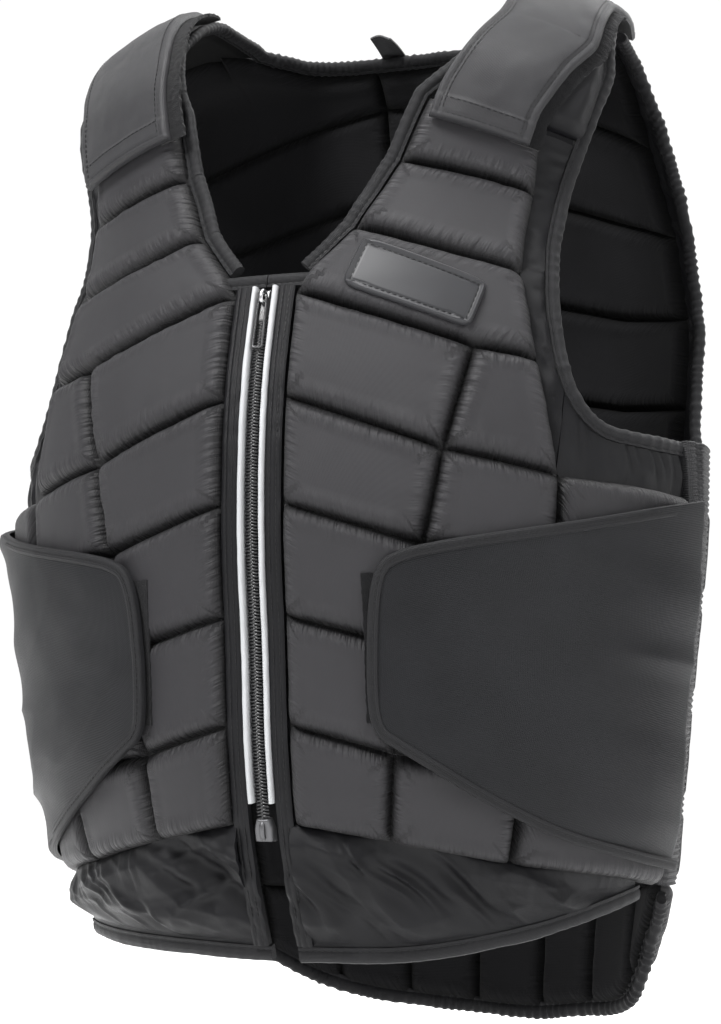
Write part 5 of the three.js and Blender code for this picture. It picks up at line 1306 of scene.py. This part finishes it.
def pillow(name, place, outline_at, length, thickness, materials, **words):
    """Rounded block along a frame's up direction. outline_at gives its half width by share."""
    u = np.linspace(-1, 1, 15)
    v = np.linspace(0, 1, 28)[:, None]
    half = outline_at(v)
    square = (1 - np.abs(u) ** 6) * (1 - np.abs(2 * v - 1) ** 14)
    rise = thickness * (0.35 + 0.65 * np.clip(square, 0, 1) ** 0.35)
    x, y = half * u, -length * v + 0 * u
    outer = in_frame(place, np.stack([x, y, rise], -1))
    inner = in_frame(place, np.stack([x, y, 0 * rise], -1))
    wall(name, outer, inner, materials, **words)


def wire(name, place, points, radius, materials, closed, corners=10, flat=1.0, **words):
    """Round wire through points of a frame."""
    points = np.asarray(points, float)
    centres = in_frame(place, points)
    if closed:
        along = unit(np.roll(centres, -1, 0) - np.roll(centres, 1, 0))
    else:
        along = unit(np.gradient(centres, axis=0))
    if abs(points[:, 0]).max() > 0.1:
        across = unit(np.cross(along, place[3]))
    else:
        across = np.tile(place[1], (len(points), 1))
    upward = np.cross(along, across)
    turns = np.linspace(0, 2 * math.pi, corners, endpoint=False)
    section = np.stack([np.cos(turns) * radius * flat, np.sin(turns) * radius], -1)
    section = np.broadcast_to(section, (len(points), corners, 2))
    tube(name, centres, across, upward, section, materials, closed=closed, **words)


def rounded(corners, radius, steps=6):
    """Closed outline through 2D corners, each cut with a curve."""
    corners = np.asarray(corners, float)
    points = []
    for before, at, after in zip(np.roll(corners, 1, 0), corners, np.roll(corners, -1, 0)):
        a = at + unit(before - at) * radius
        b = at + unit(after - at) * radius
        for t in np.linspace(0, 1, steps):
            points.append(a * (1 - t) ** 2 + 2 * at * t * (1 - t) + b * t ** 2)
    return np.array(points)


ARCH_SET_BACK = 1
ARCH_LENGTH = 8
ARCH_HEIGHT = 5
SLIDER_LENGTH = 20
SLIDER_THICKNESS = 3.2
PIVOT_Y = -ARCH_SET_BACK - ARCH_LENGTH / 2
PIVOT_Z = SLIDER_THICKNESS + (ARCH_HEIGHT - 1.3) / 2
PULLER_HALF = 2.4
PULLER_LENGTH = 28
PULLER_DIP = 1.2
PULLER_RADIUS = 0.75
PULLER_TAPER = 0.8  # half width at its top
PULLER_NECK = 6  # length of the taper
PULLER_ROUNDING = 1.1
BRIDGE_RADIUS = 0.65
ZIP_FLOOR = -3.0


def add_slider():
    place = zip_frame(SLIDER_RUN, ZIP_FLOOR)
    pillow("slider", place, lambda v: 3.7 - 1.4 * np.clip((v - 0.45) / 0.55, 0, 1) ** 1.5, SLIDER_LENGTH,
           SLIDER_THICKNESS + 0.4, [DARK_METAL], replaces=["zip_slider"], slot="dark_metal")
    turn = np.linspace(0, math.pi, 16)
    near, far = -ARCH_SET_BACK - 0.6, -ARCH_SET_BACK - ARCH_LENGTH + 0.6
    middle, half = (near + far) / 2, (near - far) / 2
    foot, rise = SLIDER_THICKNESS + 1.5, ARCH_HEIGHT - 2.2
    arch = [(0, middle + half * math.cos(t), foot + rise * math.sin(t) ** 0.7) for t in turn]
    arch = [(0, near, SLIDER_THICKNESS - 1), *arch, (0, far, SLIDER_THICKNESS - 1)]
    wire("slider_bridge", place, arch, BRIDGE_RADIUS, [SILVER], False, flat=1.7, slot="dark_metal")
    half, end = PULLER_HALF, -PULLER_LENGTH
    top, neck = half * PULLER_TAPER, -PULLER_NECK
    corners = [(-top, 0.6), (top, 0.6), (half, neck), (half, end), (-half, end), (-half, neck)]
    x, y = rounded(corners, PULLER_ROUNDING).T
    dip = np.clip(-y / PULLER_LENGTH, 0, 1) * PULLER_DIP
    lying = np.stack([x, y + PIVOT_Y, PIVOT_Z - dip], -1)
    wire("puller", place, lying, PULLER_RADIUS, [DARK_METAL], True, body="puller", replaces=["zip_puller"],
         slot="dark_metal")


def add_stop():
    place = zip_frame(STOP_RUN, ZIP_FLOOR)
    pillow("zip_stop_block", place, lambda v: 5.3 - 1.6 * np.clip((0.45 - v) / 0.45, 0, 1), 12, 5,
           [GREY_METAL], replaces=["zip_stop"], slot="grey_metal")
    ridge = [(0, -2, 4.8), (0, -3, 5.8), (0, -5, 6.2), (0, -8, 6.2), (0, -9.6, 5.6), (0, -10.4, 4.6)]
    wire("zip_stop_ridge", place, ridge, 0.7, [GREY_METAL], False, flat=1.8, slot="grey_metal")


# Badge and tag

BADGE_LENGTH = 67
BADGE_HEIGHT = 27
BADGE_PLACE = (26.0, 0.372)  # angle and share of the cloth's run
BADGE_TILT = 22
BADGE_STITCHES = 3.3  # from its edges


def badge_place(x, y):
    """Angles and runs of places on the badge, x mm along it and y mm down from its middle."""
    centre = np.array(BADGE_PLACE[0]), np.array(BADGE_PLACE[1] * CLOTH_RUN)
    round_, down = (unit(v) for v in directions(*centre)[:2])
    tilt = math.radians(BADGE_TILT)
    along = round_ * math.cos(tilt) + down * math.sin(tilt)
    across = down * math.cos(tilt) - round_ * math.sin(tilt)
    return moved(*centre, along * x[..., None] + across * y[..., None])


def add_badge():
    u, v = np.meshgrid(np.linspace(-1, 1, 90), np.linspace(-1, 1, 46))
    u, v = np.sign(u) * np.abs(u) ** 0.8, np.sign(v) * np.abs(v) ** 0.8
    length, height = BADGE_LENGTH / 2, BADGE_HEIGHT / 2
    rounding = (np.abs(u) ** 9 + np.abs(v) ** 9) ** (1 / 9) / np.maximum(np.maximum(abs(u), abs(v)), 1e-6)
    angle, run = badge_place(u / rounding * length, v / rounding * height)
    inset = np.minimum((1 - np.abs(u)) * length, (1 - np.abs(v)) * height)
    rim = np.clip((inset - 0.2) / 0.8, 0, 1) - np.clip((inset - 1.6) / 0.6, 0, 1)
    groove = np.exp(-((inset - BADGE_STITCHES) / 0.45) ** 2)
    high = ON_PADS + 1.5 + 1.1 * rim + 0.5 * np.clip(inset / 0.8, 0, 1) - 0.5 * groove
    layer("rubber_badge", angle, run, ON_PADS - 1.0, high, [RUBBER], replaces=["badge"], slot="badge_rubber")
    long, short = np.linspace(-1, 1, 60), np.linspace(-1, 1, 24)
    a = np.concatenate([long, np.ones(24), -long, -np.ones(24)])
    b = np.concatenate([-np.ones(60), short, np.ones(60), -short])
    stitches = badge_place(a * (length - BADGE_STITCHES), b * (height - BADGE_STITCHES))
    stitch_path(*stitches, ON_PADS + 1.85)


TAG_HALF = 7.5
TAG_LENGTH = 21
TAG_ABOVE = 12


def add_tag():
    edge = through(BACK_NECK, "run", np.array(4.0)) * CLOTH_RUN - BINDING_WIDTH - GAP
    v = np.linspace(0, 1, 26)[:, None]
    u = np.linspace(-1, 1, 16)
    run = edge - TAG_ABOVE + TAG_LENGTH * v
    middle = -surface(184.0, edge)[0]
    angle = 360 - angle_at(middle + TAG_HALF * u * (1 - 0.15 * (1 - v)), run, True)
    curl = 1.4 * (1 - v) ** 2 * np.sin((u + 0.4) * 2.2) + 0.3 * noise(u * 2, v * 3, 0.5, 21)
    low = BINDING_HIGH + 1.6 + curl
    layer("bare_tag", angle, run, low, low + 0.9, [SATIN], replaces=["neck_tag"], slot="tag_cloth",
          sheet=("hung", ["quilted_back"]))


# Studio

CAMERA_TARGET = (0, 0, -0.269)
CAMERA_TURN = 22.9  # degrees round from the front
CAMERA_RISE = -5.7
CAMERA_DISTANCE = 1.5
FOCAL_LENGTH = 2730  # pixels of the photograph
PHOTO_HEIGHT = 1024
FLOOR_LEVEL = -0.62
FLOOR_REACH = 14.0
FLOOR_GLOW = 0.5
ROOM_LIGHT = 0.5
BACKDROP_LIGHT = 1.02
LAMP_TARGET = (0, 0, -0.27)
LAMPS = [
    ("key", (-0.5, -1.5, 1.6), 0.7, 110),
    ("fill", (2.1, -0.9, 0.3), 1.0, 26),
    ("rim", (0.6, 1.8, 1.2), 1.2, 16),
    ("top", (0.2, -0.1, 1.9), 0.9, 46),
]


def add_world():
    """White backdrop behind the vest, and a darker room in front of it."""
    world = bpy.data.worlds.new("studio")
    world.use_nodes = True
    tree = world.node_tree
    place = add_node(tree, "TexCoord", {})
    apart = add_node(tree, "SeparateXYZ", {})
    tree.links.new(place.outputs["Generated"], apart.inputs["Vector"])
    limits = {"From Min": -0.1, "From Max": 0.55, "To Min": ROOM_LIGHT, "To Max": BACKDROP_LIGHT}
    depth = add_node(tree, "MapRange", limits, interpolation_type="SMOOTHSTEP")
    tree.links.new(apart.outputs["Y"], depth.inputs["Value"])
    background = set_inputs(tree.nodes["Background"], {"Color": (1, 1, 1, 1)})
    tree.links.new(depth.outputs["Result"], background.inputs["Strength"])
    bpy.context.scene.world = world


def add_facing(name, data, spot, target):
    """Camera or lamp at a spot, turned to a target."""
    holder = bpy.data.objects.new(name, data)
    holder.location = spot
    holder.rotation_mode = "QUATERNION"
    holder.rotation_quaternion = (Vector(target) - Vector(spot)).to_track_quat("-Z", "Y")
    bpy.context.scene.collection.objects.link(holder)
    return holder


def add_camera():
    turn, rise = math.radians(CAMERA_TURN), math.radians(CAMERA_RISE)
    back = Vector((math.sin(turn) * math.cos(rise), -math.cos(turn) * math.cos(rise), math.sin(rise)))
    data = bpy.data.cameras.new("camera")
    data.lens = FOCAL_LENGTH / PHOTO_HEIGHT * data.sensor_width
    spot = Vector(CAMERA_TARGET) + back * CAMERA_DISTANCE
    bpy.context.scene.camera = add_facing("camera", data, spot, CAMERA_TARGET)


def add_floor():
    mesh = bpy.data.meshes.new("floor")
    corners = np.array([(-1, -1, 0), (1, -1, 0), (1, 1, 0), (-1, 1, 0)]) * FLOOR_REACH
    corners[:, 2] = FLOOR_LEVEL
    mesh.from_pydata(corners.tolist(), [], [(0, 1, 2, 3)])
    finish = material("pale_floor", (0.9, 0.9, 0.9), 0.9, None, 0.01, specular=0.0)
    set_inputs(finish.node_tree.nodes["Principled BSDF"], {
        "Emission Color": (1, 1, 1, 1), "Emission Strength": FLOOR_GLOW,
    })
    mesh.materials.append(finish)
    floor = bpy.data.objects.new("floor", mesh)
    bpy.context.scene.collection.objects.link(floor)


def add_lamps():
    for name, spot, size, power in LAMPS:
        lamp = bpy.data.lights.new(name, "AREA")
        lamp.size = size
        lamp.energy = power
        add_facing(name, lamp, spot, LAMP_TARGET)


add_camera()
add_floor()
add_world()
add_lamps()
bpy.context.scene.view_settings.view_transform = "Standard"
for side, word in SIDES:
    add_front_panel(side, word)
    add_skirt(side, word)
    add_armhole(side, word)
    add_yoke(side, word)
    add_strap(side, word)
    add_hook_strip(side, word)
    add_wrap(side, word)
    add_patch(side, word)
    add_webbing(side, word)
add_back_panel()
add_tail()
add_neck_bindings()
add_zip()
add_slider()
add_stop()
add_badge()
add_tag()
add_stitches()
